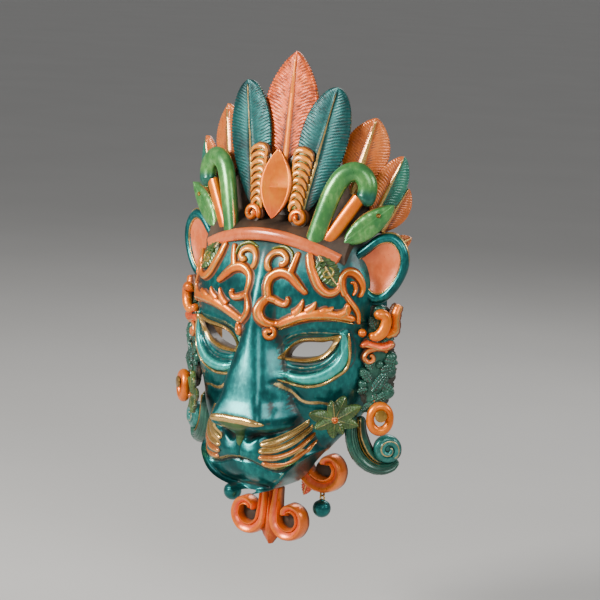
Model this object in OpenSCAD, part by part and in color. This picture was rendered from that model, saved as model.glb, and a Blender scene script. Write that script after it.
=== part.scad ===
// Carved big-cat wall mask with a feather headdress, built up from separately carved and painted pieces.
// Front faces -Y, the wall is the plane y = 0, +Z is up, and the origin is the mouth of the nail hole.

/* [Mask] */
// Height of the nail hole above the lowest tip
nail_height = 240; // [236:1:244]
// Thickness of the carved face shell
wall = 8; // [6:0.5:10]
// Depth of the face at the brow
dome_depth = 64; // [60:1:66]
// How far the muzzle stands out from the wall
muzzle_depth = 86; // [82:1:88]
// Gap left for glue under each applied piece
glue_gap = 1; // [0.8:0.1:1.2]

/* [Headdress] */
// Radius of the curved board behind the feathers
crown_radius = 160; // [150:5:180]
// Backward lean of the headdress, in degrees
crown_lean = 6; // [4:1:7]
// Distance from the wall to the front of the crown board
crown_front = 36; // [34:1:38]
// Thickness of the crown board
board_thick = 7; // [6:0.5:8]
// Thickness of a carved feather
feather_thick = 4; // [3:0.5:4.5]

/* [Side ornaments] */
// Angle at which the side ornaments turn back from the face
side_yaw = 40; // [36:1:44]
// Outer radius of the hanging ear ring
ring_outer = 14.5; // [14:0.5:15]
// Radius of the ring's round section
ring_section = 4.2; // [4:0.1:4.4]
// Width of the ear ring as a share of its height
ring_oval = 0.8; // [0.75:0.01:1]
// Radius of the peg that the ear ring hangs on
peg_radius = 2.6; // [2.4:0.1:2.8]

/* [Chin] */
// Radius of a hanging chin bead
bead_radius = 7.8; // [7:0.1:8]
// Radius of the wire in the bead's loop and its staple
wire_radius = 0.8; // [0.7:0.1:0.8]

/* [Hanger] */
// Radius of the nail hole in the hanger plate
nail_radius = 3.2; // [3:0.1:3.5]
// Thickness of the steel hanger plate
plate_thick = 1.5; // [1.2:0.1:2]

/* [Hidden] */
$fn = 48;

teal = "#1d6b66";
coral = "#e0664a";
orange = "#f0852e";
green = "#5f9a5c";
leaf_green = "#55703c";
gold = "#b89a54";
steel = "#9a9a98";
pine = "#c9a46c";

tiny = 0.01;
shell_top = 270;
shell_foot = 54;
crown_base = 275;
cavity_top = 261;
cavity_foot = 66;
jaw_rim = 28;

// Half width of the face and depth of its dome, by height
face_half_width = [[54, 14], [58, 23], [66, 33], [80, 44], [95, 56], [110, 67], [130, 77], [155, 83],
  [185, 85], [215, 85], [240, 82], [258, 76], [270, 70]];
dome_share = [[54, 0.64], [60, 0.7], [75, 0.78], [100, 0.86], [130, 0.92], [160, 0.96], [200, 1], [235, 1],
              [255, 0.93], [270, 0.83]];
bridge_line = [[96, 70], [108, 86], [113, 93], [119, 97], [150, 89], [192, 79], [211, 75], [235, 68],
  [262, 58], [270, 50]];
bridge_half_width = [[96, 14], [119, 22], [150, 13], [176, 9], [195, 5], [215, 3], [250, 2]];

function mix(a, b, t) = a + (b - a) * t;
function smooth_step(a, b, v) = let (t = max(0, min(1, (v - a) / (b - a)))) t * t * (3 - 2 * t);
function soft_max(a, b, k) = let (h = max(0, k - abs(a - b)) / k) max(a, b) + h * h * k / 4;
function hump(x, z, cx, cz, rx, rz) = exp(-pow((x - cx) / rx, 2) - pow((z - cz) / rz, 2));

// The dome is a rounded box in plan, the muzzle a rounded ellipsoid, and the bridge a flat-topped ridge
function dome(x, z) = let (w = lookup(z, face_half_width), s = min(1, abs(x) / w))
  dome_depth * lookup(z, dome_share) * pow(max(0, 1 - pow(s, 3)), 1 / 3);
function muzzle(x, z) = muzzle_depth
  * pow(max(0.001, 1 - pow(abs(x) / 55, 2.5) - pow(abs(z - 92) / 46, 2.5)), 0.4);
function bridge(x, z) = lookup(z, bridge_line)
  - 0.42 * pow(max(0, abs(x) - lookup(z, bridge_half_width)), 1.6);
function socket(x, z) = 9 * hump(abs(x), z, 43, 179, 24, 13) + 3 * hump(abs(x), z, 66, 135, 16, 16);
function face_depth(x, z) =
  max(6, soft_max(soft_max(dome(x, z), muzzle(x, z), 8), bridge(x, z), 5) - socket(x, z));

// ---- solids from rings ----

// A closed solid through a list of rings with the same number of points, capped at both ends
module skin(rings) {
  n = len(rings);
  m = len(rings[0]);
  sides = [for (i = [0:n - 2], j = [0:m - 1])
    [i * m + j, (i + 1) * m + j, (i + 1) * m + (j + 1) % m, i * m + (j + 1) % m]];
  foot = [for (j = [0:m - 1]) j];
  head = [for (j = [m - 1:-1:0]) (n - 1) * m + j];
  polyhedron(points = [for (r = rings) each r], faces = concat(sides, [foot, head]), convexity = 8);
}

// A smooth line through hand-set points (Catmull-Rom), with so many steps to each point
function blend4(a, b, c, d, t) =
  0.5 * (2 * b + (c - a) * t + (2 * a - 5 * b + 4 * c - d) * t * t + (3 * b - a - 3 * c + d) * t * t * t);
function smooth_line(p, steps) = let (n = len(p))
  [for (i = [0:n - 2], s = [0:steps - 1])
    blend4(p[max(0, i - 1)], p[i], p[i + 1], p[min(n - 1, i + 2)], s / steps), p[n - 1]];
function unit(v) = v / norm(v);
function along(p, i) = unit(p[min(len(p) - 1, i + 1)] - p[max(0, i - 1)]);
// A spiral that starts at an angle, turns so many degrees, and shrinks from one radius to another
function spiral(cx, cz, start, turn, r0, r1, n) =
  [for (i = [0:n]) let (a = start + turn * i / n, r = mix(r0, r1, i / n)) [cx + r * cos(a), cz + r * sin(a)]];
function full_then_thin(t, low) = mix(1, low, t * t);

// A flat strip laid on the face along a line of [x, z]; its width and height shrink to the share "low"
// at the end
ribbon_section = [[0, 0], [0.5, 0], [0.36, 0.8], [0, 1], [-0.36, 0.8], [-0.5, 0]];
module face_ribbon(line, width, height, low = 0.6, first = 0.8, lift = 0) {
  n = len(line) - 1;
  skin([for (i = [0:n]) let (
      t = along(line, i), side = [-t[1], t[0]],
        f = full_then_thin(i / n, low) * mix(first, 1, min(1, 4 * i / n)))
    [for (q = ribbon_section) let (a = line[i] + side * width * f * q[0])
      [a[0], -(face_depth(a[0], a[1]) + glue_gap + lift + height * f * q[1]), a[1]]]]);
}

// A round or oval bar along a line of [x, z] in the local XZ plane, with its back at y = 0 and its
// front at -height
module bar_along(line, width, height, low = 0.5, first = 1, sides = 10) {
  n = len(line) - 1;
  skin([for (i = [0:n]) let (
      t = along(line, i), side = [-t[1], t[0]],
        f = full_then_thin(i / n, low) * mix(first, 1, min(1, 4 * i / n)))
    [for (j = [0:sides - 1]) let (
        a = 360 * j / sides, o = side * width / 2 * f * cos(a), y = -height * f * (0.5 + 0.5 * sin(a)))
      [line[i][0] + o[0], y, line[i][1] + o[1]]]]);
}

// ---- places ----

module placed() translate([0, 0, -nail_height]) children();
module mirrored(right) mirror([right ? 0 : 1, 0, 0]) children();
module both_sides() {
  children();
  mirror([1, 0, 0]) children();
}
// A flat board from an outline in XZ, with its back on y = 0
module board(outline, thick) rotate([90, 0, 0]) linear_extrude(thick) polygon(outline);
// The local XZ plane is tangent to the crown board's front at x, and lifted off it
module on_crown(x, z, lift = 0)
  translate([0, -crown_front, crown_base]) rotate([-crown_lean, 0, 0])
    translate([0, crown_radius, 0]) rotate([0, 0, asin(x / crown_radius)])
      translate([0, -crown_radius - lift, z - crown_base]) children();
// The local XZ plane turns back from the side of the face; x runs outwards
module on_side(x, z, lift = 0)
  translate([84, -24, z]) rotate([0, 0, side_yaw]) translate([x, -lift, 0]) children();

// ---- face shell ----

// The rim lies on the wall down to the cheeks, then comes forward and in to the chin
function rim_depth(z) = jaw_rim * smooth_step(140, 92, z);
function rim_share(z) = mix(0.8, 1, smooth_step(80, 135, z));
// The face as a solid loaf from its rim to its front, taken in by a distance
module face_block(inset, z0, z1, rows, columns, past) {
  skin([for (i = [0:rows]) let (z = mix(z0, z1, i / rows), w = lookup(z, face_half_width) - inset)
    concat(
      [for (j = [0:columns]) let (x = w * sin(mix(-90, 90, j / columns)))
        [x, -max(rim_depth(z) + 4, face_depth(x, z) - inset), z]],
      [for (s = [1, -1]) [s * w * rim_share(z), past - rim_depth(z), z]])]);
}
module eye_opening() {
  translate([0, -30, 0]) board([[27, 173], [31, 176.5], [37, 180.5], [44, 184], [52, 186], [60.5, 186.5],
    [57, 182], [51, 176.5], [44, 172.5], [36, 171], [30, 171.5]], 60);
}
// A resize by nothing draws the shell as one mesh, since its many-sided surfaces are slow to subtract
module face_shell() color(teal) placed() resize([0, 0, 0]) difference() {
  face_block(0, shell_foot, shell_top, 36, 44, 0);
  face_block(wall, cavity_foot, cavity_top, 14, 16, 1);
  both_sides() eye_opening();
}

// ---- headdress ----

// Leaf outline: full in the middle, pointed at the tip, with a stem of its own width at the foot
function leaf_half(t, tip) = pow(max(0, sin(180 * pow(t, tip))), 0.75);
function leaf_outline(length, width, stem, tip, n = 14) = concat(
  [for (i = [0:n]) let (t = i / n) [-max(stem * (1 - t), width / 2 * leaf_half(t, tip)), length * t]],
  [for (i = [n - 1:-1:0]) let (t = i / n) [max(stem * (1 - t), width / 2 * leaf_half(t, tip)), length * t]]);
module feather(x, z, splay, length, width, lift, tip = 0.85)
  on_crown(x, z, lift) rotate([0, splay, 0]) board(leaf_outline(length, width, 3, tip), feather_thick);

board_arch = [for (a = [0:10:180]) [84 * cos(a), 58 * sin(a)]];
module crown_board() color("#5b4636") placed() intersection() {
  translate([0, -crown_front, crown_base]) rotate([-crown_lean, 0, 0]) translate([0, crown_radius, 0])
    difference() {
      cylinder(r = crown_radius, h = 70, $fn = 96);
      translate([0, 0, -1]) cylinder(r = crown_radius - board_thick, h = 72, $fn = 96);
    }
  translate([0, 0, crown_base + 1]) board(board_arch, 60);
  translate([-120, -100, crown_base - 4.4]) cube([240, 99.5, 80]);
}
function band_z(x) = 270 - 0.0038 * x * x;
function band_depth(x) = 63 - 0.0034 * x * x;
// A square-edged strap that arches over the brow, fitted to the shell behind it
module head_band() color(coral) placed() resize([0, 0, 0]) difference() {
  skin([for (i = [0:24]) let (x = mix(-64.5, 64.5, i / 24))
    [[x, -16, band_z(x) - 5.2], [x, -band_depth(x), band_z(x) - 5.2],
      [x, -band_depth(x), band_z(x) + 5.2], [x, -16, band_z(x) + 5.2]]]);
  face_block(-glue_gap, 230, shell_top + glue_gap, 8, 34, 1);
  translate([0, 0, shell_top + glue_gap]) linear_extrude(20) square([150, 2 * crown_front + 4],
    center = true);
}
module marquise() color(orange) placed() on_crown(0, 281, 14.3) {
  board([for (a = [0:15:345]) [16 * sin(a) * (1 - 0.18 * abs(cos(a))), 29 - 29 * cos(a)]], 6.5);
}
module crown_spirals() color(orange) placed() both_sides() on_crown(20.8, 283, 10.8)
  bar_along(spiral(0, 0, -60, 560, 7.6, 2.2, 26), 4.4, 7, 0.6);
module feather_centre() color(coral) placed() feather(0, 291, 0, 130, 52, 0.3, 1.35);
module feather_inner(right) color(teal) placed() mirrored(right) feather(22, 287, 11, 109, 43, 6.4, 1.3);
module feather_outer(right) color(orange) placed() mirrored(right) feather(59, 308, 12, 66, 38, 0.3, 1.1);
module feather_side(right) color(orange) placed() mirrored(right) feather(76, 288, 20, 59, 26, 4.8, 1.05);
module feather_low(right) color(teal) placed() mirrored(right) feather(83, 280, 26, 42, 22, 0.3, 1);
module feather_tails() color(orange) placed() both_sides() feather(91, 268.5, 60, 18, 12, 0.2, 1);
module acanthus() color(orange) placed() both_sides() on_crown(18, 291, 10.8) rotate([0, -3, 0])
  board(leaf_outline(54, 17, 2, 1.1), 3);
crook_line = smooth_line([[-22, -40], [-18, -24], [-12, -4], [-4, 10], [7, 14], [15, 7], [16, -4],
  [12, -12]], 3);
module crook(right) color(green) placed() mirrored(right) on_crown(57, 313, 10)
  bar_along(crook_line, 15, 13, 1.05);
module crook_bars() color(orange) placed() both_sides() on_crown(48.5, 273.5, 10)
  rotate([0, 31, 0]) board([[-5, 0], [5, 0], [5, 31], [-5, 31]], 8);
module ear_leaves() color(green) placed() both_sides() on_crown(62, 276, 10)
  rotate([0, 48, 0]) board(leaf_outline(42, 17, 2, 0.8), 6);

// ---- ears ----

function ear_outline(inset) = [for (p = smooth_line([[-23, 2], [-12, 14], [0, 25], [12, 26], [21, 15],
  [22, 0], [14, -18], [2, -29], [-8, -27], [-16, -14], [-23, 2]], 3)) p * (1 - inset / 25)];
module on_ear(right) mirrored(right) translate([86, -15, 251]) rotate([0, 0, 22]) children();
module clear_of_face() resize([0, 0, 0]) difference() {
  children();
  face_block(-1.5 * glue_gap, 200, shell_top + glue_gap, 24, 44, 1);
}
module ear(right) color(teal) placed() clear_of_face() on_ear(right) difference() {
  board(ear_outline(0), 11);
  translate([0, -5, 0]) board(ear_outline(6), 8);
}
module ear_lining(right) color(coral) placed() clear_of_face() on_ear(right)
  translate([0, -5.1, 0]) board(ear_outline(6.4), 2.5);

// ---- pieces laid on the face ----

scroll_line = [[46, 226], [36, 236], [24, 240], [13, 236], [11, 228], [14, 221], [6, 212], [8, 204],
  [17, 199.5], [26, 203], [33.5, 207.5]];
prong_line = [[17, 219.5], [22, 217.5], [29, 216]];
module forehead_scroll(right) color(orange) placed() mirrored(right) {
  face_ribbon(smooth_line(scroll_line, 3), 6, 3.5, 0.7, 0.7, 0.8);
}
module forehead_spirals() color(orange) placed() both_sides()
  face_ribbon(spiral(17.5, 252, -110, -520, 7.5, 1.8, 24), 4, 3.5, 0.7);
module loop_scrolls() color(orange) placed() both_sides()
  face_ribbon(smooth_line([[41, 256], [47, 240], [53.5, 230], [60, 228], [64.5, 234]], 4), 5.5, 3.5, 0.9);
module loop_leaves() color(leaf_green) placed() both_sides()
  face_ribbon(smooth_line([[50, 254], [54, 246], [58, 238]], 4), 9, 2.5, 0.6, 0.5);
module temple_rings() color(orange) placed() both_sides()
  face_ribbon(smooth_line([[72, 222], [70.5, 231], [71, 240], [74, 244], [77.5, 240], [79, 232],
    [77.5, 225]], 3),
    3.6, 3.5, 0.8);
module brow(right) color(orange) placed() mirrored(right)
  face_ribbon(smooth_line([[27, 195.5], [35, 201.5], [45, 207], [58, 210.5], [70, 210], [79, 208]], 3),
    6.5, 3.5, 0.85, 0.5);
module bridge_curls() color(orange) placed() both_sides()
  face_ribbon(spiral(16, 191, 60, 420, 4.6, 1.2, 18), 3.4, 3.5, 0.8, 0.8, 1.6);
function lid_line() = smooth_line([[23.5, 171.5], [30, 178.5], [38, 184], [48, 188.5], [60, 190.5], [64, 189],
  [60, 182], [52, 173.5], [43, 168.5], [33, 167.5], [24.5, 169.5]], 2);
module eye_rim(right) color(gold) placed() mirrored(right) face_ribbon(lid_line(), 3.4, 3, 0.9);
module cheek_crescent(right) color(teal) placed() mirrored(right)
  face_ribbon(smooth_line([[27, 157], [36, 154.5], [48, 154], [60, 157], [70, 164.5], [75, 175],
    [75, 187]], 3),
  9, 3.5, 0.35, 0.4, 0.4);
module nose_pad() color(gold) placed()
  face_ribbon(smooth_line([[-24, 116], [-12, 116.5], [0, 116], [12, 116.5], [24, 116]], 3), 7, 3, 1, 0.6);
module whiskers() color(gold) placed() both_sides() for (k = [0:3])
  face_ribbon(smooth_line([[22 - 0.5 * k, 101 - 5 * k], [32, 104 - 5 * k], [43 - 0.5 * k, 112.5 - 5 * k],
    [51 - k, 122.5 - 5.6 * k]], 3), 2.6, 3, 0.7, 0.6);

// ---- side ornaments ----

module on_flower(right) mirrored(right) translate([68, -50.5, 123]) rotate([0, 0, 48]) children();
module flower(right) color(leaf_green) placed() on_flower(right) {
  difference() {
    union() {
      for (a = [-80, -20, 95, 160, 215]) rotate([0, a, 0]) board(leaf_outline(17, 11, 2, 0.75, 8), 4);
      rotate([90, 0, 0]) cylinder(r = 4.5, h = 4);
    }
    translate([0, 1, 0]) rotate([90, 0, 0]) cylinder(r = 1.5, h = 8);
  }
}
module side_swirl(right) color(orange) placed() mirrored(right) on_side(0, 202, 6) {
  bar_along(smooth_line([[-3, -9], [3, -15], [11, -13], [15.5, -4], [13, 6], [6, 9], [1, 5], [4, -1]], 3),
    8.5, 9, 1.1, 0.8);
}
module foliage(right) color(leaf_green) placed() mirrored(right) on_side(0, 158, 0) difference() {
  board(concat(
    [[0, 60], [8, 62], [16, 58]],
    [for (k = [0:5], a = [80:-40:-80]) [18.5 + 5.5 * cos(a), 46 - 13.6 * k + 6.8 * sin(a)]],
    [[10, -36], [3, -34], [0, -20]]), 5);
  translate([peg_x, 1, peg_z - 158]) rotate([90, 0, 0]) cylinder(r = peg_radius + 0.05, h = 8);
}
tail_line = smooth_line([[-14, 10], [-19, -4], [-17, -20], [-6, -33], [10, -34], [19, -24], [20, -10],
  [12, -2], [4, -8], [6, -17], [12, -17]], 3);
module tail_scroll(right) color(green) placed() mirrored(right) on_side(8, 112, -9)
  bar_along(tail_line, 13, 8, 0.55, 0.9);
module ring_pegs() color(gold) placed() both_sides() on_side(peg_x, peg_z, 0) rotate([90, 0, 0]) {
  cylinder(r = peg_radius, h = 6.5 + 2 * ring_section);
  translate([0, 0, 6.4 + 2 * ring_section]) cylinder(r = peg_radius + 2.6, h = 1.6);
}

peg_x = 10;
peg_z = 127;
// The ring hangs on a peg through the foliage board; the ring's centre is below the peg by the slack
// in its hole
ring_drop = ring_outer - 2 * ring_section - peg_radius - 0.3;
module ear_ring(right) color(orange) placed() mirrored(right)
  on_side(peg_x, peg_z - ring_drop, 6 + ring_section) rotate([90, 0, 0]) scale([ring_oval, 1, 1])
    rotate_extrude() translate([ring_outer - ring_section, 0]) circle(r = ring_section, $fn = 24);

// ---- chin ornaments ----

chin_line = smooth_line([[27, 77], [29.5, 66.5], [37, 59.6], [48, 59], [57, 65], [58.5, 75.5],
  [52, 82], [45, 78.5]], 3);
module chin_scroll(right) color(coral) placed() mirrored(right) translate([0, -16, 0]) resize([0, 0, 0]) difference() {
  bar_along(chin_line, 13, 12, 0.8, 0.9);
  translate([0, 16, 0]) face_block(-0.4, shell_foot, 100, 12, 16, 1);
}
beard_line = smooth_line([[8, 53], [7, 41], [7, 30], [9, 19], [17, 13], [27, 15], [32, 25], [28, 36],
  [20, 36], [17, 30]], 3);
module beard_scrolls() color(coral) placed() both_sides() translate([0, -27, 0])
  bar_along(beard_line, 10.5, 12, 0.6);
module beard_drop() color(coral) placed() translate([0, -28, 0])
  board([[0, 0], [11, 9], [5, 13], [2, 20], [1, 52], [-1, 52], [-2, 20], [-5, 13], [-11, 9]], 8);

// ---- beads ----

bead_x = 45;
bead_y = -22;
pivot_z = 49;
loop_radius = 1.9;
loop_slack = 0.35;
staple_half = 2.7;
staple_leg = 4.6;
loop_drop = loop_radius - 2 * wire_radius - loop_slack;
module wire_loop() rotate_extrude() translate([loop_radius, 0]) circle(r = wire_radius, $fn = 16);
// A U of wire whose straight foot is the pin that the bead's loop turns on
module bead_staples() color(gold) placed() both_sides() translate([bead_x, bead_y, pivot_z]) {
  rotate([90, 0, 0]) cylinder(r = wire_radius, h = 2 * staple_half, center = true, $fn = 24);
  for (s = [-1, 1]) translate([0, s * staple_half, 0]) {
    sphere(r = wire_radius, $fn = 24);
    cylinder(r = wire_radius, h = staple_leg, $fn = 24);
  }
}
module bead(right) color(teal) placed() mirrored(right) translate([bead_x, bead_y, pivot_z - loop_drop]) {
  rotate([90, 0, 0]) wire_loop();
  translate([0, 0, 0.4 - bead_radius - loop_radius]) sphere(r = bead_radius, $fn = 32);
}

// ---- hanger ----

batten_z = nail_height;
screw_radius = 1.5;
screw_head = 0.8;
module hanging_batten() color(pine) placed() difference() {
  translate([-70, -10, batten_z - 9]) cube([140, 10, 18]);
  translate([-21, -plate_thick, batten_z - 7]) cube([42, plate_thick + 1, 14]);
  translate([0, 1, batten_z]) rotate([90, 0, 0]) cylinder(r = 6, h = 8);
  at_screws() translate([0, 0, -9]) cylinder(r = screw_radius + 0.05, h = 12);
}
module hanger_plate() color(steel) placed() difference() {
  translate([-20.5, -plate_thick, batten_z - 6.5]) cube([41, plate_thick, 13]);
  translate([0, 1, batten_z]) rotate([90, 0, 0]) cylinder(r = nail_radius, h = plate_thick + 2);
  at_screws() translate([0, 0, -plate_thick - 1]) cylinder(r = screw_radius + 0.1, h = plate_thick + 2);
  at_screws() translate([0, 0, -screw_head]) cylinder(r = 2 * screw_radius + 0.1, h = screw_head + 1);
}
// Local +Z runs out of the batten towards the wall
module at_screws() both_sides() translate([14.5, 0, batten_z]) rotate([-90, 0, 0]) children();
module hanger_screws() color(steel) placed() at_screws() {
  translate([0, 0, -8.5]) cylinder(r = screw_radius, h = 8.5 - screw_head + tiny);
  translate([0, 0, -screw_head]) cylinder(r = 2 * screw_radius, h = screw_head);
}

face_shell();
head_band();
crown_board();
marquise();
crown_spirals();
feather_centre();
feather_inner(false);  // feather_inner_left
feather_inner(true);  // feather_inner_right
feather_outer(false);  // feather_outer_left
feather_outer(true);  // feather_outer_right
feather_side(false);  // feather_side_left
feather_side(true);  // feather_side_right
feather_low(false);  // feather_low_left
feather_low(true);  // feather_low_right
feather_tails();
acanthus();
crook(false);  // crook_left
crook(true);  // crook_right
crook_bars();
ear_leaves();
ear(false);  // ear_left
ear(true);  // ear_right
ear_lining(false);  // ear_lining_left
ear_lining(true);  // ear_lining_right
forehead_scroll(false);  // forehead_scroll_left
forehead_scroll(true);  // forehead_scroll_right
forehead_spirals();
loop_scrolls();
loop_leaves();
temple_rings();
brow(false);  // brow_left
brow(true);  // brow_right
bridge_curls();
eye_rim(false);  // eye_rim_left
eye_rim(true);  // eye_rim_right
cheek_crescent(false);  // cheek_crescent_left
cheek_crescent(true);  // cheek_crescent_right
nose_pad();
whiskers();
flower(false);  // flower_left
flower(true);  // flower_right
side_swirl(false);  // side_swirl_left
side_swirl(true);  // side_swirl_right
foliage(false);  // foliage_left
foliage(true);  // foliage_right
tail_scroll(false);  // tail_scroll_left
tail_scroll(true);  // tail_scroll_right
ring_pegs();
ear_ring(false);  // ear_ring_left
ear_ring(true);  // ear_ring_right
chin_scroll(false);  // chin_scroll_left
chin_scroll(true);  // chin_scroll_right
beard_scrolls();
beard_drop();
bead_staples();
bead(false);  // bead_left
bead(true);  // bead_right
hanging_batten();
hanger_plate();
hanger_screws();
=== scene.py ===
import math

import bpy
import numpy as np
from mathutils import Matrix, Vector


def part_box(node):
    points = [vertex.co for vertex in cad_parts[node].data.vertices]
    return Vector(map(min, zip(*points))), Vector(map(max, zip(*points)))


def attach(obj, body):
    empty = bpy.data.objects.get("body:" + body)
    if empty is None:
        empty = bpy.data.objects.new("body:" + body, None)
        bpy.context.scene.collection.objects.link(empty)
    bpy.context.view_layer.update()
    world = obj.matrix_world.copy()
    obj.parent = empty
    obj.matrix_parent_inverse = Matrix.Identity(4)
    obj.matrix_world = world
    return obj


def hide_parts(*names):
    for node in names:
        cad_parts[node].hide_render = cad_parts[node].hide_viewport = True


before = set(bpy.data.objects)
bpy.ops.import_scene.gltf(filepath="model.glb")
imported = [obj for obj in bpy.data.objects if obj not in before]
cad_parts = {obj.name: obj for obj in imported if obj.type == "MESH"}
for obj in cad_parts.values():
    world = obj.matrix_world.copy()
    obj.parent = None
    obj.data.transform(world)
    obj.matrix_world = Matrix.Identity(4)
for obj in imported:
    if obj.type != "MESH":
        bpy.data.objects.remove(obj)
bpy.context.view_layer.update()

# Every shape is worked out in millimetres as (across, forward of the wall, above the lowest tip).
MM = 0.001
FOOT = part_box("beard_drop")[0].z
MASK = "mask"
BOTH = (("right", 1), ("left", -1))


# ---- sums on arrays ----

def smooth(low, high, v):
    """Goes from 0 to 1 between low and high with no corner."""
    t = np.clip((v - low) / (high - low), 0, 1)
    return t * t * (3 - 2 * t)


def table(v, pairs):
    """A smooth line through (place, value) pairs: cubic pieces whose slopes are the mean slopes at the
    pairs."""
    p = np.array(pairs, float)
    slope = np.gradient(p[:, 1], p[:, 0])
    v = np.clip(v, p[0, 0], p[-1, 0])
    i = np.clip(np.searchsorted(p[:, 0], v) - 1, 0, len(p) - 2)
    w = p[i + 1, 0] - p[i, 0]
    t = (v - p[i, 0]) / w
    a, b = p[i, 1], p[i + 1, 1]
    return (a * (1 + 2 * t) * (1 - t) ** 2 + b * t * t * (3 - 2 * t)
            + w * slope[i] * t * (1 - t) ** 2 - w * slope[i + 1] * t * t * (1 - t))


def hump(x, z, cx, cz, rx, rz):
    """A bell of height 1 at (cx, cz)."""
    return np.exp(-((x - cx) / rx) ** 2 - ((z - cz) / rz) ** 2)


def soft_max(a, b, k):
    """The larger of two heights, blended over k where they meet."""
    h = np.maximum(0, k - abs(a - b)) / k
    return np.maximum(a, b) + h * h * k / 4


def curve(points, step=0.6, closed=False):
    """A Catmull-Rom line through the points, sampled evenly every step millimetres."""
    p = np.array(points, float)
    if closed:
        p = np.vstack([p[-1], p, p[0], p[1]])
    else:
        p = np.vstack([2 * p[0] - p[1], p, 2 * p[-1] - p[-2]])
    t = np.linspace(0, 1, 24, endpoint=False)[:, None]
    a, b, c, d = (p[k:len(p) - 3 + k, None] for k in range(4))
    line = 0.5 * (2 * b + (c - a) * t + (2 * a - 5 * b + 4 * c - d) * t ** 2 + (3 * b - a - 3 * c + d)
                  * t ** 3)
    line = np.vstack([line.reshape(-1, p.shape[1]), p[-2]])
    s = np.concatenate([[0], np.cumsum(np.linalg.norm(np.diff(line, axis=0), axis=1))])
    n = max(8, int(round(s[-1] / step)))
    even = np.linspace(0, s[-1], n + 1)
    line = np.stack([np.interp(even, s, line[:, k]) for k in range(p.shape[1])], 1)
    return line[:-1] if closed else line


def spiral(cx, cz, start, turn, r0, r1):
    """A spiral about a centre from angle start, turning turn degrees, its radius going from r0 to r1."""
    t = np.linspace(0, 1, 14)
    a = np.radians(start + turn * t)
    r = r0 + (r1 - r0) * t
    return np.stack([cx + r * np.cos(a), cz + r * np.sin(a)], 1)


def sides_of(line, closed=False):
    """The unit vector square to the line at each of its points, to the right of the way it runs, and the
    run so far."""
    if closed:
        t = np.roll(line, -1, 0) - np.roll(line, 1, 0)
    else:
        t = np.gradient(line, axis=0)
    t /= np.linalg.norm(t, axis=1, keepdims=True) + 1e-9
    run = np.concatenate([[0], np.cumsum(np.linalg.norm(np.diff(line, axis=0), axis=1))])
    return np.stack([t[:, 1], -t[:, 0]], 1), run


def near(x, z, line):
    """Distance of each (x, z) from a line, and how far along the line its nearest place is (0 to 1)."""
    best = np.full(x.shape, 1e9)
    where = np.zeros(x.shape)
    last = len(line) - 1
    for k in range(last):
        a, b = line[k], line[k + 1]
        e = b - a
        t = np.clip(((x - a[0]) * e[0] + (z - a[1]) * e[1]) / (e @ e + 1e-9), 0, 1)
        dist = np.hypot(x - a[0] - t * e[0], z - a[1] - t * e[1])
        closer = dist < best
        best = np.where(closer, dist, best)
        where = np.where(closer, (k + t) / last, where)
    return best, where


def ripple(a, b, seed=0.0):
    """A gentle uneven swell between -1 and 1, the sum of four waves that never line up."""
    return (np.sin(1.7 * a + 0.9 * b + seed) + np.sin(2.9 * b - 1.3 * a + 2.1 * seed)
            + 0.6 * np.sin(4.3 * a + 3.7 * b + 1.3 * seed) + 0.4 * np.sin(7.1 * a - 5.9 * b + seed)) / 3


# ---- the face ----

HALF_WIDTH = [(54, 8), (55.5, 15), (58, 22), (66, 33), (80, 44), (95, 56), (110, 67), (130, 77), (155, 83),
              (185, 85), (215, 85), (240, 82), (258, 76), (270, 70)]
DOME_SHARE = [(54, 0.5), (60, 0.66), (75, 0.78), (100, 0.86), (130, 0.92), (160, 0.96), (200, 1), (235, 1),
              (255, 0.93), (270, 0.83)]
BRIDGE = [(90, 66), (100, 77), (108, 88), (114, 95.5), (119, 97), (135, 92.5), (150, 89), (192, 79),
          (211, 75.5), (235, 68.5), (262, 59), (270, 52)]
BRIDGE_HALF = [(90, 8), (104, 12), (112, 20), (119, 20), (135, 15), (150, 12.5), (176, 8), (195, 4.5),
               (215, 3), (270, 2)]
BRIDGE_FALL = [(190, 0.42), (228, 0.15), (270, 0.12)]
BROW_EDGE = [(14, 191), (26, 197.5), (38, 203), (50, 206.5), (62, 207.5), (72, 206), (80, 203)]
FACE_FOOT, FACE_TOP = 54.0, 270.0
DOME, MUZZLE, MUZZLE_MID, RIM_STEP = 64, 86, 92, 28
WALL, SIDE_WALL = 9, 7.5

EYE_HOLE = [(24.5, 170.5), (26.8, 176.5), (32, 181.2), (38.5, 183.8), (46, 185), (55, 185.8), (63, 187.6),
            (59.5, 181), (54.5, 176), (48, 172.8), (41, 171), (33, 170)]
CRESCENT = curve([(23, 157.8), (31, 155), (43, 154), (56, 157), (65.5, 163.5), (71.3, 172), (72.5, 183),
                  (71.5, 195)])
UNDER_EYE = curve([(23, 164), (33, 162.8), (43, 163), (53.5, 166), (62.5, 173), (68.5, 183.5), (70.5, 194)])
LID_FOLD = curve([(18, 176.5), (22.5, 184), (32.5, 190), (45.4, 193.2), (57.2, 194.3), (68, 194.5)])
CHEEK_CREASE = curve([(24, 149.5), (28, 145), (34.5, 139.5), (40, 135.3), (46.5, 134), (55, 134.6),
                      (62, 133)])
MUZZLE_CREASE = curve([(33.5, 131), (34, 126), (34, 121), (32.8, 115.5), (31.5, 110.5)])
NOSE_GROOVE = curve([(19.5, 146), (23, 137), (26, 128), (27.5, 119), (26, 110), (21, 103)])
MOUTH = curve([(0, 84.5), (9, 84), (17, 81), (25, 77.8), (33, 77.6), (39, 81.2), (42.6, 86), (46.5, 95)])
CHIN_EDGE = curve([(-29, 68.5), (-22, 64), (-11, 61), (0, 60), (11, 61), (22, 64), (29, 68.5)])
NOSE_SIDE = curve([(14.7, 132.9), (16, 139.5), (18.4, 148.3)])
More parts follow.
